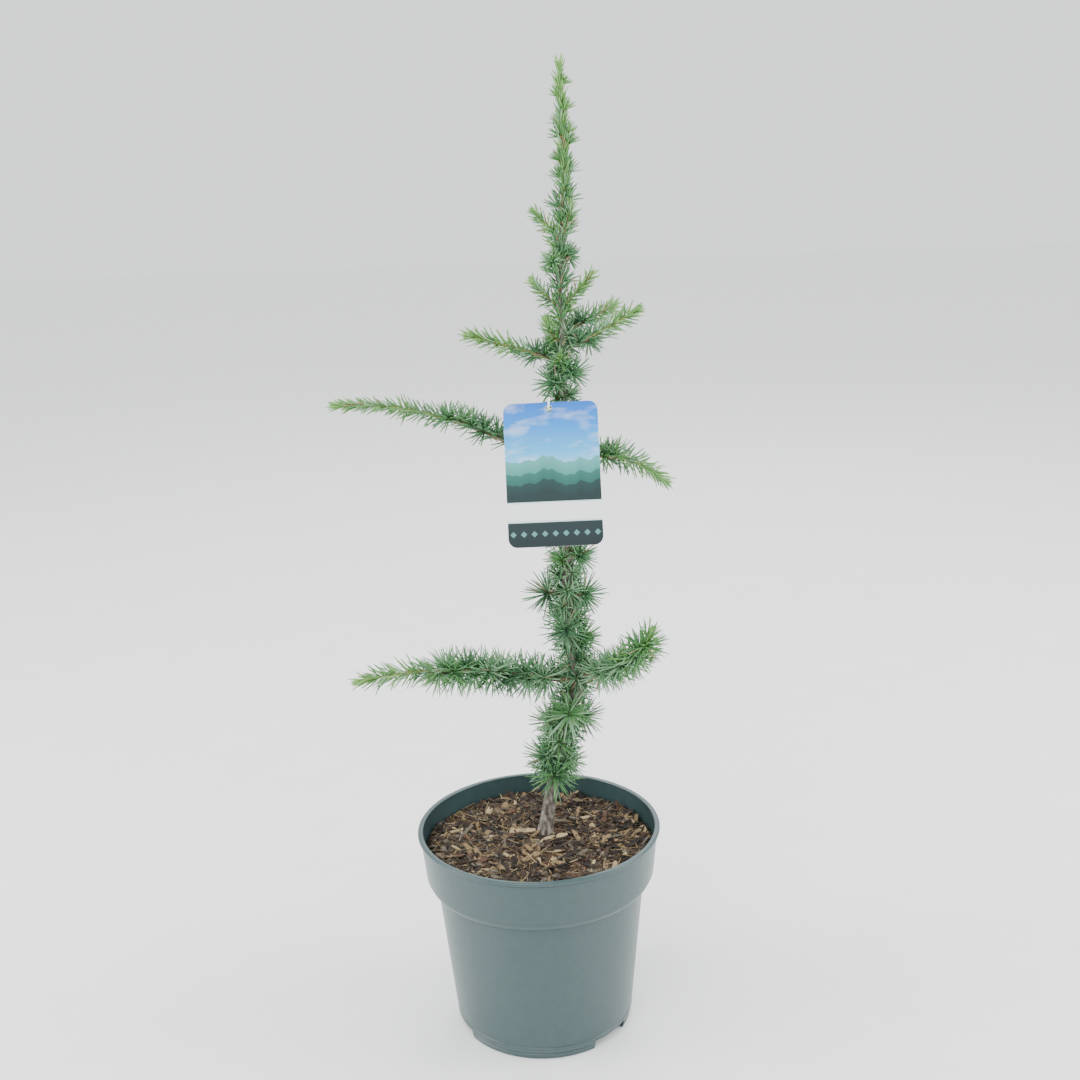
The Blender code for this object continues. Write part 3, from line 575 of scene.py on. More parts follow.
def heading(toward, rise):
    """Unit vector from a compass angle and a rise, in degrees."""
    toward, rise = math.radians(toward), math.radians(rise)
    flat = math.cos(rise)
    return Vector((flat * math.cos(toward), flat * math.sin(toward), math.sin(rise)))


def scatter(dice, kind, count):
    """Deal chips or fibres out to the tones, as rows for bars."""
    dealt = {tone[0]: [] for tone in MULCH_TONES}
    names = [tone[0] for tone in MULCH_TONES]
    column = 2 if kind == "chip" else 3
    shares = [tone[column] for tone in MULCH_TONES]
    while count > 0:
        radius = BED_RADIUS * math.sqrt(dice.random())
        angle = dice.uniform(0, 2 * math.pi)
        turned_to = dice.uniform(0, 2 * math.pi)
        if kind == "chip":
            length = dice.triangular(*CHIP_LENGTHS) * MM
            width = min(dice.uniform(*CHIP_SLIMNESS) * length, CHIP_WIDEST)
            thick = dice.uniform(*CHIP_THICKNESS) * MM
            tilt = dice.gauss(0, CHIP_TILT)
            curl = dice.uniform(-CHIP_CURL, CHIP_CURL)
        else:
            length = dice.triangular(*FIBRE_LENGTHS) * MM
            width = dice.uniform(*FIBRE_WIDTHS) * MM
            thick = width * FIBRE_FLATNESS
            tilt = dice.gauss(FIBRE_RISE, FIBRE_TILT)
            curl = dice.uniform(-FIBRE_CURL, FIBRE_CURL)
        x, y = radius * math.cos(angle), radius * math.sin(angle)
        along = Vector((math.cos(turned_to), math.sin(turned_to), math.tan(tilt)))
        along.normalize()
        ground = bed_height(x, y)
        middle = Vector((x, y, ground + dice.uniform(*LYING_HEIGHTS) * MM))
        start = middle - along * length / 2
        end = middle + along * length / 2
        reach = max(math.hypot(spot.x, spot.y) for spot in (start, end))
        outside = reach > BED_RADIUS - RIM_GAP
        on_stem = (Vector((x, y)) - STEM_FOOT).length < STEM_FOOT_RADIUS
        buried = min(start.z, end.z) < ground - DEEPEST_END
        if outside or on_stem or buried:
            continue
        side = Vector((-along.y, along.x, dice.gauss(0, SIDE_TILT)))
        bend = side * curl + Vector((0, 0, dice.uniform(*BOW_RANGE)))
        tone = dice.choices(names, shares)[0]
        dealt[tone].append((tuple(start), tuple(along), tuple(side), length, tuple(bend),
                            width, thick))
        count -= 1
    return dealt


chips = scatter(random.Random(f"{SEED}-chips"), "chip", CHIP_COUNT)
fibres = scatter(random.Random(f"{SEED}-fibres"), "fibre", FIBRE_COUNT)
print("chips dealt", [len(rows) for rows in chips.values()])

# %% The large chips that catch the eye
BIG_CHIP_RISE = 3
BIG_CHIP_LIFT = 2.4 * MM
BIG_CHIP_THICKNESS = 1.4 * MM
BIG_CHIP_BOW = (0, 0, 0.05)
BIG_CHIPS = (
    # right, back, turned to, length, width, tone
    (-13, 13, -8, 21, 4.4, "straw_wood"), (-17, 19, -14, 19, 3.4, "tan_wood"),
    (13, 1, 12, 19, 3.8, "straw_wood"), (30, 2, 108, 19, 4.2, "tan_wood"),
    (-48, 22, 100, 16, 3.8, "tan_wood"), (-8, -34, 35, 20, 4.4, "tan_wood"),
    (10, -38, -30, 21, 4.2, "tan_wood"), (52, -8, 60, 15, 3.8, "tan_wood"),
    (-40, 52, 70, 9, 5.0, "straw_wood"), (-2, -22, 80, 17, 4.6, "red_bark"),
)
for right, back, turned_to, length, width, tone in BIG_CHIPS:
    along = heading(turned_to, BIG_CHIP_RISE)
    middle = Vector((right * MM, back * MM, 0))
    middle.z = bed_height(middle.x, middle.y) + BIG_CHIP_LIFT
    chips[tone].append((tuple(middle - along * length / 2 * MM), tuple(along),
                        (-along.y, along.x, 0.3), length * MM, BIG_CHIP_BOW, width * MM,
                        BIG_CHIP_THICKNESS))
for name, colours, _, _ in MULCH_TONES:
    finish = mottled(name, colours, 1.6 * MM, 0.88, 0.3 * MM)
    settle(bars("chips_" + name, chips[name], CHIP_FORM, False), finish)
    settle(bars("fibres_" + name, fibres[name], FIBRE_FORM, True), finish)

# %% [markdown]
# ## The plant's rule
#
# The stem leans and bends through measured points. Each shoot leaves it at a height, heads
# off at an angle, and droops or turns up along its length. Old wood carries rosettes of
# needles on short spurs. New growth carries single needles in a spiral, leaning forward.

# %% Stem and shoots
STEM_HEIGHT = 488 * MM
LEADER_TOP = 590 * MM
STEM_BENDS = (
    # height, to the right, to the back
    (0, 0.0, 0.0), (30, 5.5, 1.0), (83, 16.5, 2.0), (125, 29.5, 0.5), (153, 25.5, -1.0),
    (186, 23.0, 0.0), (260, 24.0, 1.5), (367, 24.0, 0.0), (392, 26.5, -0.5),
    (438, 24.5, 0.0), (502, 29.6, 1.0), (540, 29.6, 0.0), (590, 27.8, -1.0),
)
STEM_GIRTH = (
    # height, diameter
    (0, 14.0), (7, 11.8), (28, 10.0), (150, 8.2), (250, 7.6), (390, 5.8), (432, 3.9),
    (502, 3.0), (590, 1.6),
)
SHOOTS = (
    # name, height, toward, length, rise, tip rise, late, limb, thick, thin,
    # old wood until, rosette step, lift, old needle, young needle
    ("lower_left", 127, 195, 179, 16, -10, 2.0, 12, 5.0, 1.8, 114, 9, 0.0, 21, 17),
    ("lower_right", 133, 325, 90, 13, 75, 1.5, 10, 4.4, 2.0, 74, 7, 0.0, 19, 18),
    ("lower_back", 119, 88, 52, 24, 10, 1.0, 10, 4.0, 1.8, 40, 11, 0.0, 18, 15),
    ("middle_left", 294, 168, 190, 30, -6, 1.4, 40, 4.4, 1.6, 96, 16, 0.7, 17, 13),
    ("middle_right", 302, 20, 96, 8, -52, 1.2, 24, 3.8, 1.6, 46, 9, 0.5, 17, 16),
    ("middle_back", 262, 82, 104, 16, -6, 1.2, 24, 4.2, 1.6, 62, 12, 0.4, 17, 15),
    ("middle_rear", 300, 101, 84, 18, -4, 1.0, 20, 3.8, 1.6, 48, 12, 0.4, 17, 15),
    ("upper_left", 376, 200, 80, 22, 18, 1.0, 8, 3.0, 1.5, 22, 10, 0.6, 14, 15),
    ("upper_right", 384, 345, 68, 27, 31, 1.0, 8, 3.0, 1.5, 22, 9, 0.3, 15, 15),
    ("upper_rear", 398, 35, 54, 16, 18, 1.0, 8, 2.8, 1.5, 20, 8, 0.4, 14, 15),
    ("upper_back", 380, 98, 52, 26, 20, 1.0, 8, 2.8, 1.5, 20, 10, 0.3, 14, 14),
    ("upper_front", 372, 262, 22, 40, 30, 1.0, 0, 2.4, 1.5, 8, 9, 0.0, 15, 14),
    ("upright_left", 391, 200, 27, 20, 95, 1.0, 0, 2.2, 1.4, 0, 9, 0.0, 13, 13),
    ("pair_left", 416, 160, 33, 30, 55, 1.0, 0, 2.0, 1.3, 0, 9, 0.0, 13, 13),
    ("pair_right", 416, 335, 38, 43, 46, 1.0, 0, 2.0, 1.3, 0, 9, 0.0, 13, 13),
    ("pair_back", 438, 92, 32, 48, 60, 1.0, 0, 2.0, 1.3, 0, 9, 0.0, 13, 13),
    ("top_left", 460, 150, 36, 58, 34, 1.0, 0, 2.0, 1.3, 0, 9, 0.0, 13, 13),
    ("top_right", 464, 330, 31, 55, 93, 1.0, 0, 2.0, 1.3, 0, 9, 0.0, 13, 13),
)
SPURS = (
    # name, height, toward, reach, rise, needle
    ("foot_front", 54, 266, 12, 0, 24), ("foot_left", 63, 200, 10, 20, 22),
    ("foot_right", 60, 338, 9, 12, 20), ("foot_back", 68, 92, 11, 12, 22),
    ("low_front", 104, 262, 13, 8, 23), ("low_right", 96, 2, 12, 8, 21),
    ("low_left", 92, 190, 12, 16, 20), ("low_back", 90, 100, 11, 12, 21),
    ("stem_right", 161, 345, 10, 20, 20), ("stem_front", 172, 258, 13, 12, 22),
    ("stem_back", 178, 90, 12, 12, 21), ("stem_left", 199, 182, 14, 4, 22),
    ("high_right", 197, 355, 13, 8, 20), ("high_back", 218, 95, 12, 12, 20),
    ("neck_right", 226, 340, 11, 20, 18), ("neck_left", 246, 186, 10, 30, 17),
    ("neck_front", 262, 268, 10, 20, 17), ("card_front", 334, 268, 10, 20, 16),
    ("fan_left", 355, 205, 9, 48, 19), ("fan_right", 363, 335, 10, 35, 17),
    ("crown_left", 444, 205, 7, 42, 12), ("crown_right", 447, 20, 8, 40, 12),
)


def curve_through(rows, steps):
    """Catmull-Rom curve through all but the end rows."""
    curve = []
    for a, b, c, d in zip(rows, rows[1:], rows[2:], rows[3:]):
        for k in range(steps):
            t = k / steps
            bend = 2 * a - 5 * b + 4 * c - d
            twist = 3 * b - a - 3 * c + d
            curve.append(0.5 * (2 * b + (c - a) * t + bend * t * t + twist * t ** 3))
    return curve


STEM_STEPS = 6
bends = [Vector(row) for row in STEM_BENDS]
before_first = bends[0] * 2 - bends[1]
after_last = bends[-1] * 2 - bends[-2]
stem_line = curve_through([before_first] + bends + [after_last], STEM_STEPS)
STEM_LINE = np.array([tuple(row) for row in stem_line + [bends[-1]]])
GIRTH_LINE = np.array(STEM_GIRTH)


def stem_point(height):
    """Centre of the stem at a height above the bed."""
    right = np.interp(height / MM, STEM_LINE[:, 0], STEM_LINE[:, 1])
    back = np.interp(height / MM, STEM_LINE[:, 0], STEM_LINE[:, 2])
    return Vector((STEM_FOOT.x + right * MM, STEM_FOOT.y + back * MM, SOIL_TOP + height))


def stem_radius(height):
    """Radius of the stem at a height above the bed."""
    return float(np.interp(height / MM, GIRTH_LINE[:, 0], GIRTH_LINE[:, 1])) * MM / 2


def shoot_route(height, toward, length, rise, tip_rise, late, steps=48):
    """Points from the stem's centre to a shoot's tip."""
    route = [stem_point(height * MM)]
    for k in range(steps):
        t = ((k + 0.5) / steps) ** late
        step = heading(toward, rise + (tip_rise - rise) * t) * length * MM / steps
        route.append(route[-1] + step)
    return route


def on_route(route, distance):
    """Point and direction at a distance along a route."""
    for a, b in zip(route, route[1:]):
        span = (b - a).length
        if distance <= span:
            break
        distance -= span
    direction = (b - a).normalized()
    return a + direction * distance, direction


def side_of(direction, angle):
    """Unit vector square to a direction, turned by an angle round it."""
    level = Vector((0, 0, 1)) if abs(direction.z) < 0.9 else Vector((1, 0, 0))
    return Quaternion(direction, angle) @ direction.cross(level).normalized()


print("shoots", len(SHOOTS), "spurs", len(SPURS), "stem points", len(STEM_LINE))

# %% [markdown]
# ## Label sizes
#
# The label hangs in front of the stem with its foot pushed forward by the foliage. Its
# place is needed before the needles grow, because none of them may pass through it.

# %% Where the label hangs
CARD_WIDTH = 68 * MM
CARD_HEIGHT = 104 * MM
CARD_THICKNESS = 0.9 * MM
CARD_CORNER = 6.5 * MM
CARD_CENTRE = Vector((19.6, -24.0, 453.9)) * MM
CARD_PITCH = math.radians(20)
CARD_ROLL = math.radians(-0.4)
CARD_HOLE_RADIUS = 2.6 * MM
CARD_HOLE_DROP = 4.6 * MM
CARD_HOLE_SIDE = -1.1 * MM
card_turn = Matrix.Rotation(CARD_ROLL, 4, "Y") @ Matrix.Rotation(-CARD_PITCH, 4, "X")
card_place = Matrix.Translation(CARD_CENTRE) @ card_turn
to_card = card_place.inverted()
print("label centre", CARD_CENTRE)

# %% [markdown]
# ## Bark
#
# The stem is several years old at its foot, with thin grey-brown bark that is furrowed up
# and down and swollen where each branch leaves. A round tube is drawn along the line by a
# curve with its thickness at each point, made a mesh, and pushed in and out in code.

# %% Tubes


def tubes(name, strands, roundness, closed=False):
    """One mesh of round tubes, each along a line of (point, radius)."""
    curve = bpy.data.curves.new(name, "CURVE")
    curve.dimensions = "3D"
    curve.bevel_depth = 1.0
    curve.bevel_resolution = roundness
    curve.use_fill_caps = True
    for strand in strands:
        line = curve.splines.new("POLY")
        line.points.add(len(strand) - 1)
        line.use_cyclic_u = closed
        for spot, (place, radius) in zip(line.points, strand):
            spot.co = (*place, 1.0)
            spot.radius = radius
    piece = bpy.data.objects.new(name, curve)
    bpy.context.scene.collection.objects.link(piece)
    select_only(piece)
    bpy.ops.object.convert(target="MESH")
    piece = bpy.context.object
    bpy.ops.object.mode_set(mode="EDIT")
    bpy.ops.mesh.select_all(action="SELECT")
    bpy.ops.mesh.remove_doubles(threshold=1e-6)
    bpy.ops.mesh.normals_make_consistent(inside=False)
    bpy.ops.object.mode_set(mode="OBJECT")
    bpy.ops.object.shade_smooth()
    return piece


def furrow(piece, depth, width, long):
    """Push a surface in and out in furrows of that width and length."""
    moved = []
    for corner in piece.data.vertices:
        place = corner.co
        coarse = noise.noise(Vector((place.x / width, place.y / width, place.z / long)))
        fine = noise.noise(Vector((place.x, place.y, place.z * width / long)) * 2.7 / width)
        moved.append(place + corner.normal * depth * (coarse + 0.5 * fine))
    for corner, place in zip(piece.data.vertices, moved):
        corner.co = place
    piece.data.update()


# %% Stem
KNOT = 0.9 * MM
KNOT_SPREAD = 4.5 * MM
KNOTS = [row[1] * MM for row in SHOOTS + SPURS]
STRAND_STEP = 1.6 * MM
STEM_SUNK = 2 * MM
STEM_ROUNDNESS = 7
FURROW_DEPTH = 0.45 * MM
FURROW_WIDTH = 3.2 * MM
FURROW_LENGTH = 11 * MM


def stem_strand(start, end, knot):
    """Centre and radius of the stem between two heights, swollen where branches leave."""
    strand = []
    height = start
    while height < end:
        swell = sum(math.exp(-((height - place) / KNOT_SPREAD) ** 2) for place in KNOTS)
        radius = stem_radius(max(height, 0)) + knot * min(swell, 1.0)
        strand.append((stem_point(height), radius))
        height += STRAND_STEP
    return strand


stem = tubes("stem_bark", [stem_strand(-STEM_SUNK, STEM_HEIGHT, KNOT)], STEM_ROUNDNESS)
furrow(stem, FURROW_DEPTH, FURROW_WIDTH, FURROW_LENGTH)
print("stem corners", len(stem.data.vertices))

# %% Limbs, spurs and green twigs
LIMB_STEP = 1.5
LIMB_START = 1.0
LIMB_ROUNDNESS = 3
TWIG_ROUNDNESS = 2
SHORTEST_LIMB = 4
LIMB_OVERLAP = 1.6
SHORT_OF_TIP = 0.4
SPUR_SHARES = (0.2, 0.4, 0.6, 0.8, 1.0)
SPUR_RADIUS = 1.6
SPUR_TAPER = 0.4
LEADER_OVERLAP = 2 * MM
LEADER_SHORT = 6 * MM
LIMB_ROUGHNESS = 0.22 * MM
LIMB_GRAIN = 2.2 * MM
limb_strands = []
twig_strands = []
for row in SHOOTS:
    height, toward, length, rise, tip_rise, late, _, thick, thin, old_until = row[1:11]
    young = row[-1]
    route = shoot_route(height, toward, length, rise, tip_rise, late)
    old_end = max(old_until, SHORTEST_LIMB)
    distance = LIMB_START
    strand = []
    while distance < length - young * SHORT_OF_TIP:
        radius = (thick + (thin - thick) * distance / length) * MM / 2
        point = on_route(route, distance * MM)[0]
        strand.append((point, radius, distance))
        distance += LIMB_STEP
    limb_strands.append([spot[:2] for spot in strand if spot[2] <= old_end + LIMB_OVERLAP])
    twig_strands.append([spot[:2] for spot in strand if spot[2] >= old_end])
for _, height, toward, reach, rise, _ in SPURS:
    foot = stem_point(height * MM)
    aim = heading(toward, rise)
    limb_strands.append([(foot + aim * reach * MM * share,
                          (SPUR_RADIUS - SPUR_TAPER * share) * MM)
                         for share in SPUR_SHARES])
twig_strands.append(stem_strand(STEM_HEIGHT - LEADER_OVERLAP, LEADER_TOP - LEADER_SHORT, 0))
limbs = tubes("limb_bark", limb_strands, LIMB_ROUNDNESS)
furrow(limbs, LIMB_ROUGHNESS, LIMB_GRAIN, LIMB_GRAIN)
twigs = tubes("green_twigs", twig_strands, TWIG_ROUNDNESS)
print("limbs and spurs", len(limb_strands), "green twigs", len(twig_strands))

# %% [markdown]
# ### Its finish
#
# The stem is grey with pale ridges and dark furrows, so its noise is stretched upwards. The
# limbs are tan, and the newest wood is still green.

# %% Bark finishes
grey_bark = mottled("young_grey_bark", ("3F3A32", "6A645A", "98928A"), 2.4 * MM, 0.85,
                    0.5 * MM, stretch=(1, 1, 0.42))
tan_bark = mottled("tan_limb_bark", ("5C4C3A", "7F6A51", "9F876A"), 3 * MM, 0.8, 0.3 * MM)
green_bark = mottled("green_twig_bark", ("727244", "868A54", "9AA068"), 3 * MM, 0.7,
                     0.15 * MM)
boughs = sorted(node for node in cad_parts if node.startswith("bough_"))
settle(stem, grey_bark, ["trunk"])
settle(limbs, tan_bark, boughs)
settle(twigs, green_bark, ["needles_leader"])

# %% [markdown]
# ## Needles
#
# Cedar needles are stiff, about 1 mm wide, and have a waxy bloom. On old wood they stand
# in rosettes of several dozen on short spurs. On new growth they stand singly. Greens are
# dealt out by spray: dark blue-green on old wood, fresh yellow-green at the tips. The
# darkest green is partly the old needles' own tone and partly painted shade, since old
# wood lies inside the crown.

# %% Greens
GREENS = {
    # name: darker and lighter colour
    # the darkest green: old needles' own tone, partly painted shade for the inside of the
    # crown
    "deep": ("3A5F41", "47704D"),
    "old": ("4F7D53", "609264"),
    "waxy": ("769F77", "8AB48A"),
    "fresh": ("4E8246", "5D9254"),
    "young": ("639649", "74A65B"),
    "tip": ("78A85A", "8AB96B"),
    "dry": ("86775A", "A39272"),
}
# old wood gets the darkest green most, so these mixes carry painted shade into the crown
OLD_MIX = (("deep", 0.24), ("old", 0.38), ("waxy", 0.28), ("fresh", 0.10))
MIDDLE_MIX = (("deep", 0.08), ("old", 0.34), ("waxy", 0.20), ("fresh", 0.28),
              ("young", 0.10))
YOUNG_MIX = (("fresh", 0.38), ("young", 0.44), ("waxy", 0.10), ("tip", 0.08))
TIP_MIX = (("young", 0.5), ("tip", 0.5))
NEEDLE_WIDTH = 0.92 * MM
NEEDLE_THICKNESS = 0.7 * MM
WIDTH_RANGE = (0.85, 1.15)
NEEDLE_LIFT = (-0.01, 0.09)
NEEDLE_SWAY = 0.03
DRY_SHARE = 0.02
CARD_CLEARANCE = 1.2 * MM
STEM_CLEARANCE = 0.3 * MM
BED_CLEARANCE = 2 * MM
TESTED_SHARES = (0.4, 0.7, 1.0)
sprays = {green: [] for green in GREENS}
buds = []
print("greens", len(GREENS))

# %% One needle


def misses_card(root, tip):
    """True if a needle doesn't pass through the label."""
    a, b = to_card @ root, to_card @ tip
    spots = [a, b]
    if a.y * b.y < 0:
        spots.append(a.lerp(b, a.y / (a.y - b.y)))
    for spot in spots:
        inside = abs(spot.x) < CARD_WIDTH / 2 + CARD_CLEARANCE
        inside = inside and abs(spot.z) < CARD_HEIGHT / 2 + CARD_CLEARANCE
        if inside and abs(spot.y) < CARD_THICKNESS / 2 + CARD_CLEARANCE:
            return False
    return True


def misses_stem(root, tip):
    """True if a needle stays clear of the stem and of the bed."""
    for share in TESTED_SHARES:
        place = root.lerp(tip, share)
        height = place.z - SOIL_TOP
        if height < BED_CLEARANCE:
            return False
        axis = stem_point(height)
        away = math.hypot(place.x - axis.x, place.y - axis.y)
        if height < LEADER_TOP and away < stem_radius(height) + STEM_CLEARANCE:
            return False
    return True


def needle(root, aim, length, green, dice):
    """Grow one needle, unless it would pass through the label, stem or bed."""
    tip = root + aim * length
    if not misses_card(root, tip) or not misses_stem(root, tip):
        return
    if dice.random() < DRY_SHARE:
        green = "dry"
    up = Vector((0, 0, dice.uniform(*NEEDLE_LIFT)))
    sway = Vector([dice.uniform(-NEEDLE_SWAY, NEEDLE_SWAY) for _ in range(3)])
    bend = up - aim * up.dot(aim) + sway
    across = side_of(aim, dice.uniform(0, math.pi))
    width = NEEDLE_WIDTH * dice.uniform(*WIDTH_RANGE)
    sprays[green].append((tuple(root), tuple(aim), tuple(across), length, tuple(bend),
                          width, NEEDLE_THICKNESS))


def pick(mix, dice):
    """One green of a mix, by the mix's shares."""
    return dice.choices([green for green, _ in mix], [share for _, share in mix])[0]


# %% [markdown]
# ### Rosettes
#
# A rosette opens round its bud like a shuttlecock. Turning each needle by the golden angle
# from the last one spreads any number of them evenly, and small random errors keep it from
# looking like a machine's work. A rosette has two greens, dealt needle by needle.

# %% Rosettes
GOLDEN_TURN = math.radians(137.5)
BUD_RADIUS = 1.7 * MM
ROOT_SHARE = 0.6
OPENING = 0.62
POLAR_WOBBLE = 0.06
TURN_WOBBLE = 0.08
ROSETTE_LENGTHS = (0.80, 1.03)
FIRST_GREEN = 0.55


def rosette(centre, axis, length, count, spread, mix, dice):
    """A whorl of needles that opens round a bud's axis, out to an angle in degrees."""
    green = pick(mix, dice)
    second = pick(mix, dice)
    buds.append((centre, BUD_RADIUS))
    turn_now = dice.uniform(0, 2 * math.pi)
    for k in range(count):
        share = (k + 0.5) / count
        polar = math.radians(spread) * share ** OPENING + dice.gauss(0, POLAR_WOBBLE)
        turn_now += GOLDEN_TURN + dice.gauss(0, TURN_WOBBLE)
        side = side_of(axis, turn_now)
        aim = (axis * math.cos(polar) + side * math.sin(polar)).normalized()
        long = length * dice.uniform(*ROSETTE_LENGTHS)
        hue = green if dice.random() < FIRST_GREEN else second
        root = BUD_RADIUS * ROOT_SHARE
        needle(centre + aim * root, aim, long - root, hue, dice)


print("golden turn", round(math.degrees(GOLDEN_TURN), 1), "degrees")

# %% [markdown]
# ### Single needles
#
# New growth carries its needles one by one in the same spiral. They lean out at its foot
# and close up towards the tip, where a small brush of short ones hides the bud. Needles
# come in sprays of nine that share a green, a lean and a length, which makes it rougher.

# %% Single needles
SHOOT_LEAN = 50
LEADER_LEAN = 36
TIP_LEAN = 20
LEAN_POWER = 3
SINGLE_PITCH = 0.44 * MM
PITCH_RANGE = (0.8, 1.2)
SPRAY_SIZE = 9
SPRAY_LEAN = 0.17
SPRAY_LENGTHS = (0.82, 1.08)
SPRAY_GREEN = 0.72
SINGLE_TURN_WOBBLE = 0.1
LEAN_WOBBLE = 0.14
SINGLE_LENGTHS = (0.78, 1.04)
TIP_SHORTER = 0.22
BRUSH_COUNT = 12
BRUSH_LEANS = (3, 24)
BRUSH_LENGTHS = (0.4, 0.52)


def single_needles(route, start, end, thick, thin, length, first_lean, mixes, dice):
    """Needles in a spiral along new growth, leaning further forward at its tip."""
    turn_now = dice.uniform(0, 2 * math.pi)
    distance = start
    spray = 0
    green = second = None
    spray_lean = 0.0
    spray_length = 1.0
    while distance < end:
        part = (distance - start) / (end - start)
        if spray % SPRAY_SIZE == 0:
            mix = mixes[min(int(part * len(mixes)), len(mixes) - 1)]
            green, second = pick(mix, dice), pick(mix, dice)
            spray_lean = dice.gauss(0, SPRAY_LEAN)
            spray_length = dice.uniform(*SPRAY_LENGTHS)
        spray += 1
        centre, direction = on_route(route, distance)
        turn_now += GOLDEN_TURN + dice.gauss(0, SINGLE_TURN_WOBBLE)
        lean = math.radians(first_lean + (TIP_LEAN - first_lean) * part ** LEAN_POWER)
        lean += spray_lean * (1 - part) + dice.gauss(0, LEAN_WOBBLE)
        side = side_of(direction, turn_now)
        aim = (direction * math.cos(lean) + side * math.sin(lean)).normalized()
        long = length * spray_length * dice.uniform(*SINGLE_LENGTHS)
        long *= 1 - TIP_SHORTER * part
        radius = thick + (thin - thick) * part
        hue = green if dice.random() < SPRAY_GREEN else second
        needle(centre + side * radius * ROOT_SHARE, aim, long, hue, dice)
        distance += SINGLE_PITCH * dice.uniform(*PITCH_RANGE)
    centre, direction = on_route(route, end)
    for _ in range(BRUSH_COUNT):
        turn_now += GOLDEN_TURN
        lean = math.radians(dice.uniform(*BRUSH_LEANS))
        side = side_of(direction, turn_now)
        aim = (direction * math.cos(lean) + side * math.sin(lean)).normalized()
        short = length * dice.uniform(*BRUSH_LENGTHS)
        needle(centre, aim, short, pick(mixes[-1], dice), dice)


print("needles in a centimetre of new growth", round(10 * MM / SINGLE_PITCH))

# %% [markdown]
# ### Growing the plant
#
# Each branch first gets its rosettes, as far as its old wood goes, and then its single
# needles. Seeds are named after the branch, so that one branch can be changed alone. The
# spurs, the stem between them and the leading shoot follow.

# %% Grow the shoots
ROSETTE_FORWARD = math.radians(28)
BOUGH_NEEDLES = 42
BOUGH_SPREAD = 104
STEP_SHARE = 0.62
STEP_RANGE = (0.85, 1.15)
BARE_LIMB_END = 3
BARE_SHOOT_END = 2
OLD_WOOD_SHARE = 0.4
BRUSH_SHORT = 0.5
SHOOT_MIXES = (MIDDLE_MIX, YOUNG_MIX, YOUNG_MIX, TIP_MIX)
for row in SHOOTS:
    name, height, toward, length, rise, tip_rise, late, limb, thick, thin = row[:10]
    old_until, step, lift, old, young = row[10:]
    dice = random.Random(f"{SEED}-fine-{name}")
    route = shoot_route(height, toward, length, rise, tip_rise, late)
    at_stem = stem_radius(height * MM) / MM
    place = at_stem + (limb + BARE_LIMB_END if limb else BARE_SHOOT_END)
    turn_now = dice.uniform(-math.pi, math.pi)
    while place < old_until:
        centre, direction = on_route(route, place * MM)
        side = side_of(direction, turn_now * (1 - lift) - math.pi / 2)
        axis = side * math.cos(ROSETTE_FORWARD) + direction * math.sin(ROSETTE_FORWARD)
        radius = (thick + (thin - thick) * place / length) * MM / 2
        mix = OLD_MIX if place < length * OLD_WOOD_SHARE else MIDDLE_MIX
        rosette(centre + side * radius, axis.normalized(), old * MM, BOUGH_NEEDLES,
                BOUGH_SPREAD, mix, dice)
        place += step * STEP_SHARE * dice.uniform(*STEP_RANGE)
        turn_now = (turn_now + GOLDEN_TURN + math.pi) % (2 * math.pi) - math.pi
    start = max(place - step * STEP_SHARE / 2, at_stem + 1)
    single_needles(route, start * MM, (length - young * BRUSH_SHORT) * MM,
                   thick * MM / 2, thin * MM / 2, young * MM, SHOOT_LEAN, SHOOT_MIXES, dice)
print("needles after shoots", sum(len(rows) for rows in sprays.values()))

# %% Grow the spurs
SPUR_NEEDLES = 58
SPUR_SPREAD = 112
OLD_SPURS_BELOW = 300
for name, height, toward, reach, rise, length in SPURS:
    dice = random.Random(f"{SEED}-fine-{name}")
    axis = heading(toward, rise)
    centre = stem_point(height * MM) + axis * reach * MM
    mix = OLD_MIX if height < OLD_SPURS_BELOW else MIDDLE_MIX
    rosette(centre, axis, length * MM, SPUR_NEEDLES, SPUR_SPREAD, mix, dice)
print("needles after spurs", sum(len(rows) for rows in sprays.values()))

# %% Grow the stem's own rosettes
STEM_NEEDLES = 30
STEM_SPREAD = 96
STEM_RISES = (15, 45)
STEM_BUD_OUT = 1.5 * MM
STEM_LENGTHS = (0.85, 1.05)
FOOT_LENGTH = 19
LENGTH_LOSS = 5
OLD_STEM_SHARE = 0.6
STEM_TURN_WOBBLE = 15
STEM_ROSETTES_FROM = 47
STEM_ROSETTES_TO = 400
STEM_ROSETTE_STEP = 4.3
dice = random.Random(f"{SEED}-fine-stem")
height = STEM_ROSETTES_FROM
toward = 40.0
while height < STEM_ROSETTES_TO:
    share = (height - STEM_ROSETTES_FROM) / (STEM_ROSETTES_TO - STEM_ROSETTES_FROM)
    axis = heading(toward, dice.uniform(*STEM_RISES))
    centre = stem_point(height * MM) + axis * (stem_radius(height * MM) + STEM_BUD_OUT)
    length = (FOOT_LENGTH - LENGTH_LOSS * share) * dice.uniform(*STEM_LENGTHS) * MM
    mix = OLD_MIX if share < OLD_STEM_SHARE else MIDDLE_MIX
    rosette(centre, axis, length, STEM_NEEDLES, STEM_SPREAD, mix, dice)
    height += STEM_ROSETTE_STEP * dice.uniform(*PITCH_RANGE)
    toward += math.degrees(GOLDEN_TURN) + dice.uniform(-STEM_TURN_WOBBLE, STEM_TURN_WOBBLE)
print("needles after the stem", sum(len(rows) for rows in sprays.values()))

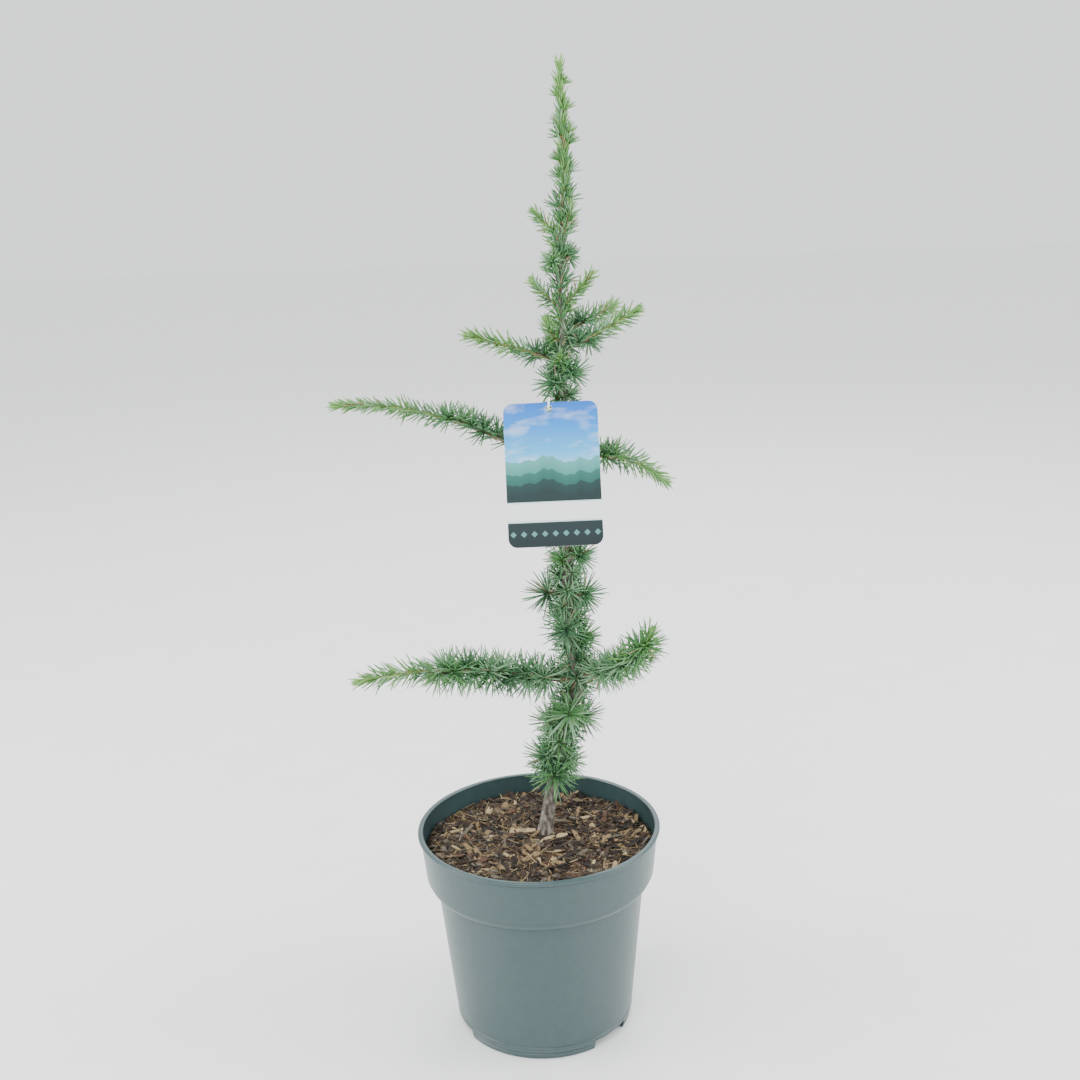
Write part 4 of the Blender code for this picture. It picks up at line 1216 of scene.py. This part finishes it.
# %% Tufts and single needles of the upper stem
TUFT_RISE = 58
TUFT_NEEDLES = 15
TUFT_SPREAD = 58
YOUNG_TUFTS_FROM = 510
UPPER_FROM = 400
UPPER_STEP = 5
UPPER_BRUSH_SHORT = 7 * MM
UPPER_THICK = 1.9 * MM
UPPER_THIN = 0.8 * MM
UPPER_NEEDLE = 14 * MM
UPPER_MIXES = (MIDDLE_MIX, MIDDLE_MIX, MIDDLE_MIX, YOUNG_MIX, YOUNG_MIX, TIP_MIX)
UPPER_TUFTS = (
    # height, toward, reach, needle
    (405, 215, 4, 15), (409, 10, 4, 15), (427, 250, 3, 14), (431, 345, 4, 14),
    (437, 190, 4, 14), (452, 300, 3, 14), (456, 200, 4, 14), (468, 20, 4, 14),
    (474, 255, 3, 14), (483, 195, 4, 14), (488, 345, 4, 14), (497, 280, 3, 13),
    (503, 170, 4, 12), (507, 15, 4, 12), (515, 205, 4, 12), (525, 350, 5, 12),
    (531, 195, 4, 11), (533, 20, 4, 11), (541, 185, 3, 11), (550, 330, 3, 10),
    (560, 190, 2, 9), (568, 10, 2, 9),
)
for height, toward, reach, length in UPPER_TUFTS:
    dice = random.Random(f"{SEED}-tuft-{height}")
    axis = heading(toward, TUFT_RISE)
    centre = stem_point(height * MM) + axis * reach * MM
    mix = MIDDLE_MIX if height < YOUNG_TUFTS_FROM else YOUNG_MIX
    rosette(centre, axis, length * MM, TUFT_NEEDLES, TUFT_SPREAD, mix, dice)

upper_route = [stem_point(level * MM)
               for level in range(UPPER_FROM, round(LEADER_TOP / MM) + 1, UPPER_STEP)]
upper_length = sum((b - a).length for a, b in zip(upper_route, upper_route[1:]))
single_needles(upper_route, 0.0, upper_length - UPPER_BRUSH_SHORT, UPPER_THICK, UPPER_THIN,
               UPPER_NEEDLE, LEADER_LEAN, UPPER_MIXES,
               random.Random(f"{SEED}-fine-leader"))
print("needles in all", sum(len(rows) for rows in sprays.values()))

# %% [markdown]
# ### Waxy green
#
# A needle is opaque, with a thin wax that softens its shine. Each green is one plain
# material that wanders a little in tone. Every mass of the CAD is named once, by the mesh
# that stands for it.

# %% Join the needles by green
masses = sorted(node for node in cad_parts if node.startswith("needles_"))
masses.remove("needles_leader")
for k, (green, colours) in enumerate(GREENS.items()):
    finish = mottled("needle_" + green, colours, 9 * MM, 0.5, 0.03 * MM)
    piece = bars("needles_of_" + green, sprays[green], NEEDLE_FORM, True)
    settle(piece, finish, masses[k::len(GREENS)])

# %% [markdown]
# ### Buds
#
# A small scaly brown bud sits in the middle of each rosette. One low sphere is worked out
# and repeated at each place.

# %% One bud
BUD_RINGS = (40, 90, 140)  # degrees from its top
BUD_SIDES = 6
bud_corners = [Vector((0, 0, 1))]
for polar in BUD_RINGS:
    for k in range(BUD_SIDES):
        angle = 2 * math.pi * k / BUD_SIDES
        wide = math.sin(math.radians(polar))
        bud_corners.append(Vector((wide * math.cos(angle), wide * math.sin(angle),
                                   math.cos(math.radians(polar)))))
bud_corners.append(Vector((0, 0, -1)))
print("corners of a bud", len(bud_corners))

# %% A bud in each rosette
bud_faces = []
last = len(bud_corners) - 1
for k in range(BUD_SIDES):
    nxt = (k + 1) % BUD_SIDES
    bud_faces.append((0, 1 + k, 1 + nxt))
    for ring in range(len(BUD_RINGS) - 1):
        high, low = 1 + ring * BUD_SIDES, 1 + (ring + 1) * BUD_SIDES
        bud_faces.append((high + k, low + k, low + nxt, high + nxt))
    bottom = 1 + (len(BUD_RINGS) - 1) * BUD_SIDES
    bud_faces.append((bottom + k, last, bottom + nxt))
corners = []
faces = []
for centre, radius in buds:
    first = len(corners)
    corners += [tuple(centre + corner * radius) for corner in bud_corners]
    faces += [tuple(first + k for k in face) for face in bud_faces]
mesh = bpy.data.meshes.new("spur_buds")
mesh.from_pydata(corners, [], faces)
mesh.polygons.foreach_set("use_smooth", [True] * len(mesh.polygons))
mesh.update()
bud_piece = bpy.data.objects.new("spur_buds", mesh)
bpy.context.scene.collection.objects.link(bud_piece)
scaly_bud = mottled("scaly_bud_bark", ("6A5236", "8D7148"), 1.5 * MM, 0.8, 0.2 * MM)
settle(bud_piece, scaly_bud)

# %% [markdown]
# ## The label
#
# A plastic card with round corners, punched near its top edge. A plane is set up, its
# corners are bevelled, it is given its thickness and the hole is cut. Its UV map holds the
# place on the card, from 0 to 1 each way, so that the print follows it.

# %% Card
CORNER_STEPS = 10
HOLE_SIDES = 40
EDGE_ROUND = 0.12 * MM
EDGE_STEPS = 2
bpy.ops.object.select_all(action="DESELECT")
bpy.ops.mesh.primitive_plane_add(size=1, rotation=(math.pi / 2, 0, 0))
card = bpy.context.object
card.name = "plant_label"
card.scale = (CARD_WIDTH, CARD_HEIGHT, 1)
bpy.ops.object.transform_apply(location=True, rotation=True, scale=True)
bpy.ops.object.mode_set(mode="EDIT")
bpy.ops.mesh.select_all(action="SELECT")
bpy.ops.mesh.bevel(offset=CARD_CORNER, segments=CORNER_STEPS, affect="VERTICES")
bpy.ops.object.mode_set(mode="OBJECT")
thickness = card.modifiers.new("thickness", "SOLIDIFY")
thickness.thickness = CARD_THICKNESS
thickness.offset = 0
bpy.ops.object.modifier_apply(modifier=thickness.name)
bpy.ops.object.select_all(action="DESELECT")
hole_at = (CARD_HOLE_SIDE, 0, CARD_HEIGHT / 2 - CARD_HOLE_DROP)
bpy.ops.mesh.primitive_cylinder_add(vertices=HOLE_SIDES, radius=CARD_HOLE_RADIUS,
                                    depth=CARD_THICKNESS * 4, location=hole_at,
                                    rotation=(math.pi / 2, 0, 0))
cut_away(card, bpy.context.object)
select_only(card)
softened = card.modifiers.new("edge", "BEVEL")
softened.width = EDGE_ROUND
softened.segments = EDGE_STEPS
bpy.ops.object.modifier_apply(modifier=softened.name)
while card.data.uv_layers:
    card.data.uv_layers.remove(card.data.uv_layers[0])
card_uv = card.data.uv_layers.new(name="print")
for loop in card.data.loops:
    spot = card.data.vertices[loop.vertex_index].co
    card_uv.data[loop.index].uv = (spot.x / CARD_WIDTH + 0.5, spot.z / CARD_HEIGHT + 0.5)
print("label faces", len(card.data.polygons))

# %% [markdown]
# ### Print
#
# The print is a plain landscape of this part's own: sky over three ranges of hills, a pale
# band, and a dark foot with a row of small diamonds. Nothing on it is lettering. Ranges are
# drawn by shifting the card's height coordinate with a slow noise, then stepping colours.
# Print on polystyrene has a soft sheen, and the back is left white and a little duller.

# %% Sky and clouds
SKY_STOPS = [(0.50, "9AD8F2"), (0.66, "3FB0EC"), (0.84, "0A8AE2"), (1.0, "0068CC")]
printed, tree, shader, place = start_material("printed_polystyrene", 0.32)
where = add_node(tree, "ShaderNodeSeparateXYZ", links={0: place.outputs["UV"]})
across, up = where.outputs[0], where.outputs[1]
sky_tint = add_node(tree, "ShaderNodeValToRGB", {"stops": SKY_STOPS}, {"Fac": up})
streaked = add_node(tree, "ShaderNodeMapping", {"Scale": (0.8, 3.0, 1.0)},
                    {"Vector": place.outputs["UV"]})
clouds = add_node(tree, "ShaderNodeTexNoise", {"Scale": 3.2, "Detail": 4.0},
                  {"Vector": streaked.outputs[0]})
cloud_edge = add_node(tree, "ShaderNodeMapRange",
                      {"From Min": 0.5, "From Max": 0.85, "To Max": 0.7},
                      {"Value": clouds.outputs["Fac"]})
cloudy = add_node(tree, "ShaderNodeMix", {"data_type": "RGBA", 7: linear("F2F8FB")},
                  {0: cloud_edge.outputs[0], 6: sky_tint.outputs["Color"]})
print("sky stops", len(SKY_STOPS))

# %% Hills
HILL_STOPS = [(0.25, "0C2A2B"), (0.33, "123A38"), (0.332, "1D5A52"), (0.40, "266A60"),
              (0.402, "3F8C86"), (0.48, "55A09C")]
HILLS_TOP = 0.49
RIDGE_RISE = 0.22
sideways = add_node(tree, "ShaderNodeCombineXYZ", links={0: across})
ridge = add_node(tree, "ShaderNodeTexNoise", {"Scale": 3.6, "Detail": 2.5},
                 {"Vector": sideways.outputs[0]})
lowered = add_node(tree, "ShaderNodeMath", {"operation": "MULTIPLY_ADD", 1: -RIDGE_RISE},
                   {0: ridge.outputs["Fac"], 2: up})
hills_tint = add_node(tree, "ShaderNodeValToRGB", {"stops": HILL_STOPS},
                      {"Fac": lowered.outputs[0]})
is_hill = add_node(tree, "ShaderNodeMath", {"operation": "LESS_THAN", 1: HILLS_TOP},
                   {0: lowered.outputs[0]})
land = add_node(tree, "ShaderNodeMix", {"data_type": "RGBA"},
                {0: is_hill.outputs[0], 6: cloudy.outputs[2],
                 7: hills_tint.outputs["Color"]})
print("hill stops", len(HILL_STOPS))

# %% Pale band and dark foot
FOOT_STOPS = [(0.0, "0B1F22"), (0.17, "12292C"), (0.172, "CFE3E2"), (0.180, "CFE3E2"),
              (0.182, "F4F6F5"), (0.30, "F8F9F8"), (0.302, "CFE3E2"), (0.312, "CFE3E2")]
FOOT_TOP = FOOT_STOPS[-1][0]
foot_tint = add_node(tree, "ShaderNodeValToRGB", {"stops": FOOT_STOPS}, {"Fac": up})
is_foot = add_node(tree, "ShaderNodeMath", {"operation": "LESS_THAN", 1: FOOT_TOP}, {0: up})
with_foot = add_node(tree, "ShaderNodeMix", {"data_type": "RGBA"},
                     {0: is_foot.outputs[0], 6: land.outputs[2],
                      7: foot_tint.outputs["Color"]})
print("foot of the print up to", FOOT_TOP, "of the card's height")

# %% Diamonds
DIAMOND_COUNT = 9.0
DIAMOND_HALF = 0.3
DIAMOND_LEVEL = 0.09
DIAMOND_STEEPNESS = 14.0
repeated = add_node(tree, "ShaderNodeMath", {"operation": "MULTIPLY", 1: DIAMOND_COUNT},
                    {0: across})
cell = add_node(tree, "ShaderNodeMath", {"operation": "FRACT"}, {0: repeated.outputs[0]})
from_middle = add_node(tree, "ShaderNodeMath", {"operation": "SUBTRACT", 1: 0.5},
                       {0: cell.outputs[0]})
sideways_off = add_node(tree, "ShaderNodeMath", {"operation": "ABSOLUTE"},
                        {0: from_middle.outputs[0]})
above = add_node(tree, "ShaderNodeMath",
                 {"operation": "MULTIPLY_ADD", 1: DIAMOND_STEEPNESS,
                  2: -DIAMOND_STEEPNESS * DIAMOND_LEVEL}, {0: up})
up_off = add_node(tree, "ShaderNodeMath", {"operation": "ABSOLUTE"}, {0: above.outputs[0]})
both = add_node(tree, "ShaderNodeMath", {"operation": "ADD"},
                {0: sideways_off.outputs[0], 1: up_off.outputs[0]})
is_diamond = add_node(tree, "ShaderNodeMath", {"operation": "LESS_THAN", 1: DIAMOND_HALF},
                      {0: both.outputs[0]})
design = add_node(tree, "ShaderNodeMix", {"data_type": "RGBA", 7: linear("5A8C8A")},
                  {0: is_diamond.outputs[0], 6: with_foot.outputs[2]})
tree.links.new(design.outputs[2], shader.inputs["Base Color"])
print("diamonds", DIAMOND_COUNT)

# %% Printed front and plain back
white_card = mottled("white_polystyrene", ("E6E7E4", "EEEFEC"), 20 * MM, 0.4, 0.03 * MM)
card.data.materials.append(printed)
card.data.materials.append(white_card)
for face in card.data.polygons:
    face.material_index = 0 if face.normal.y < -0.5 else 1
card.data.transform(card_place)
card.data.update()
settle(card, printed, ["label_card"])

# %% [markdown]
# ### Its loop
#
# A thin soft plastic strap goes through the hole, over the card's top edge and round the
# stem. It is a closed tube along the same line as in the CAD, white and slightly waxy.

# %% Loop
STRAP_RADIUS = 0.8 * MM
STRAP_STEPS = 8
STRAP_ROUNDNESS = 3
STRAP_ROUTE = (
    # millimetres from the hole: right, back, up
    (0.0, 0.0, 0.0), (0.1, -2.3, 3.2), (0.3, 1.2, 7.4), (1.2, 7.0, 6.4), (4.4, 14.5, 4.4),
    (5.0, 22.0, 3.6), (10.1, 27.0, 2.6), (15.6, 21.0, 1.8), (10.5, 11.0, 0.6),
    (2.6, 3.6, -0.9),
)
hole = card_place @ Vector(hole_at)
strap_rows = [hole + Vector(row) * MM for row in STRAP_ROUTE]
strap_line = curve_through([strap_rows[-1]] + strap_rows + strap_rows[:2], STRAP_STEPS)
strap_strand = [(place, STRAP_RADIUS) for place in strap_line]
strap = tubes("label_loop", [strap_strand], STRAP_ROUNDNESS, closed=True)
soft_white = mottled("soft_white_plastic", ("E4E6E3", "F0F2EF"), 8 * MM, 0.38, 0.03 * MM)
settle(strap, soft_white, ["label_strap"])
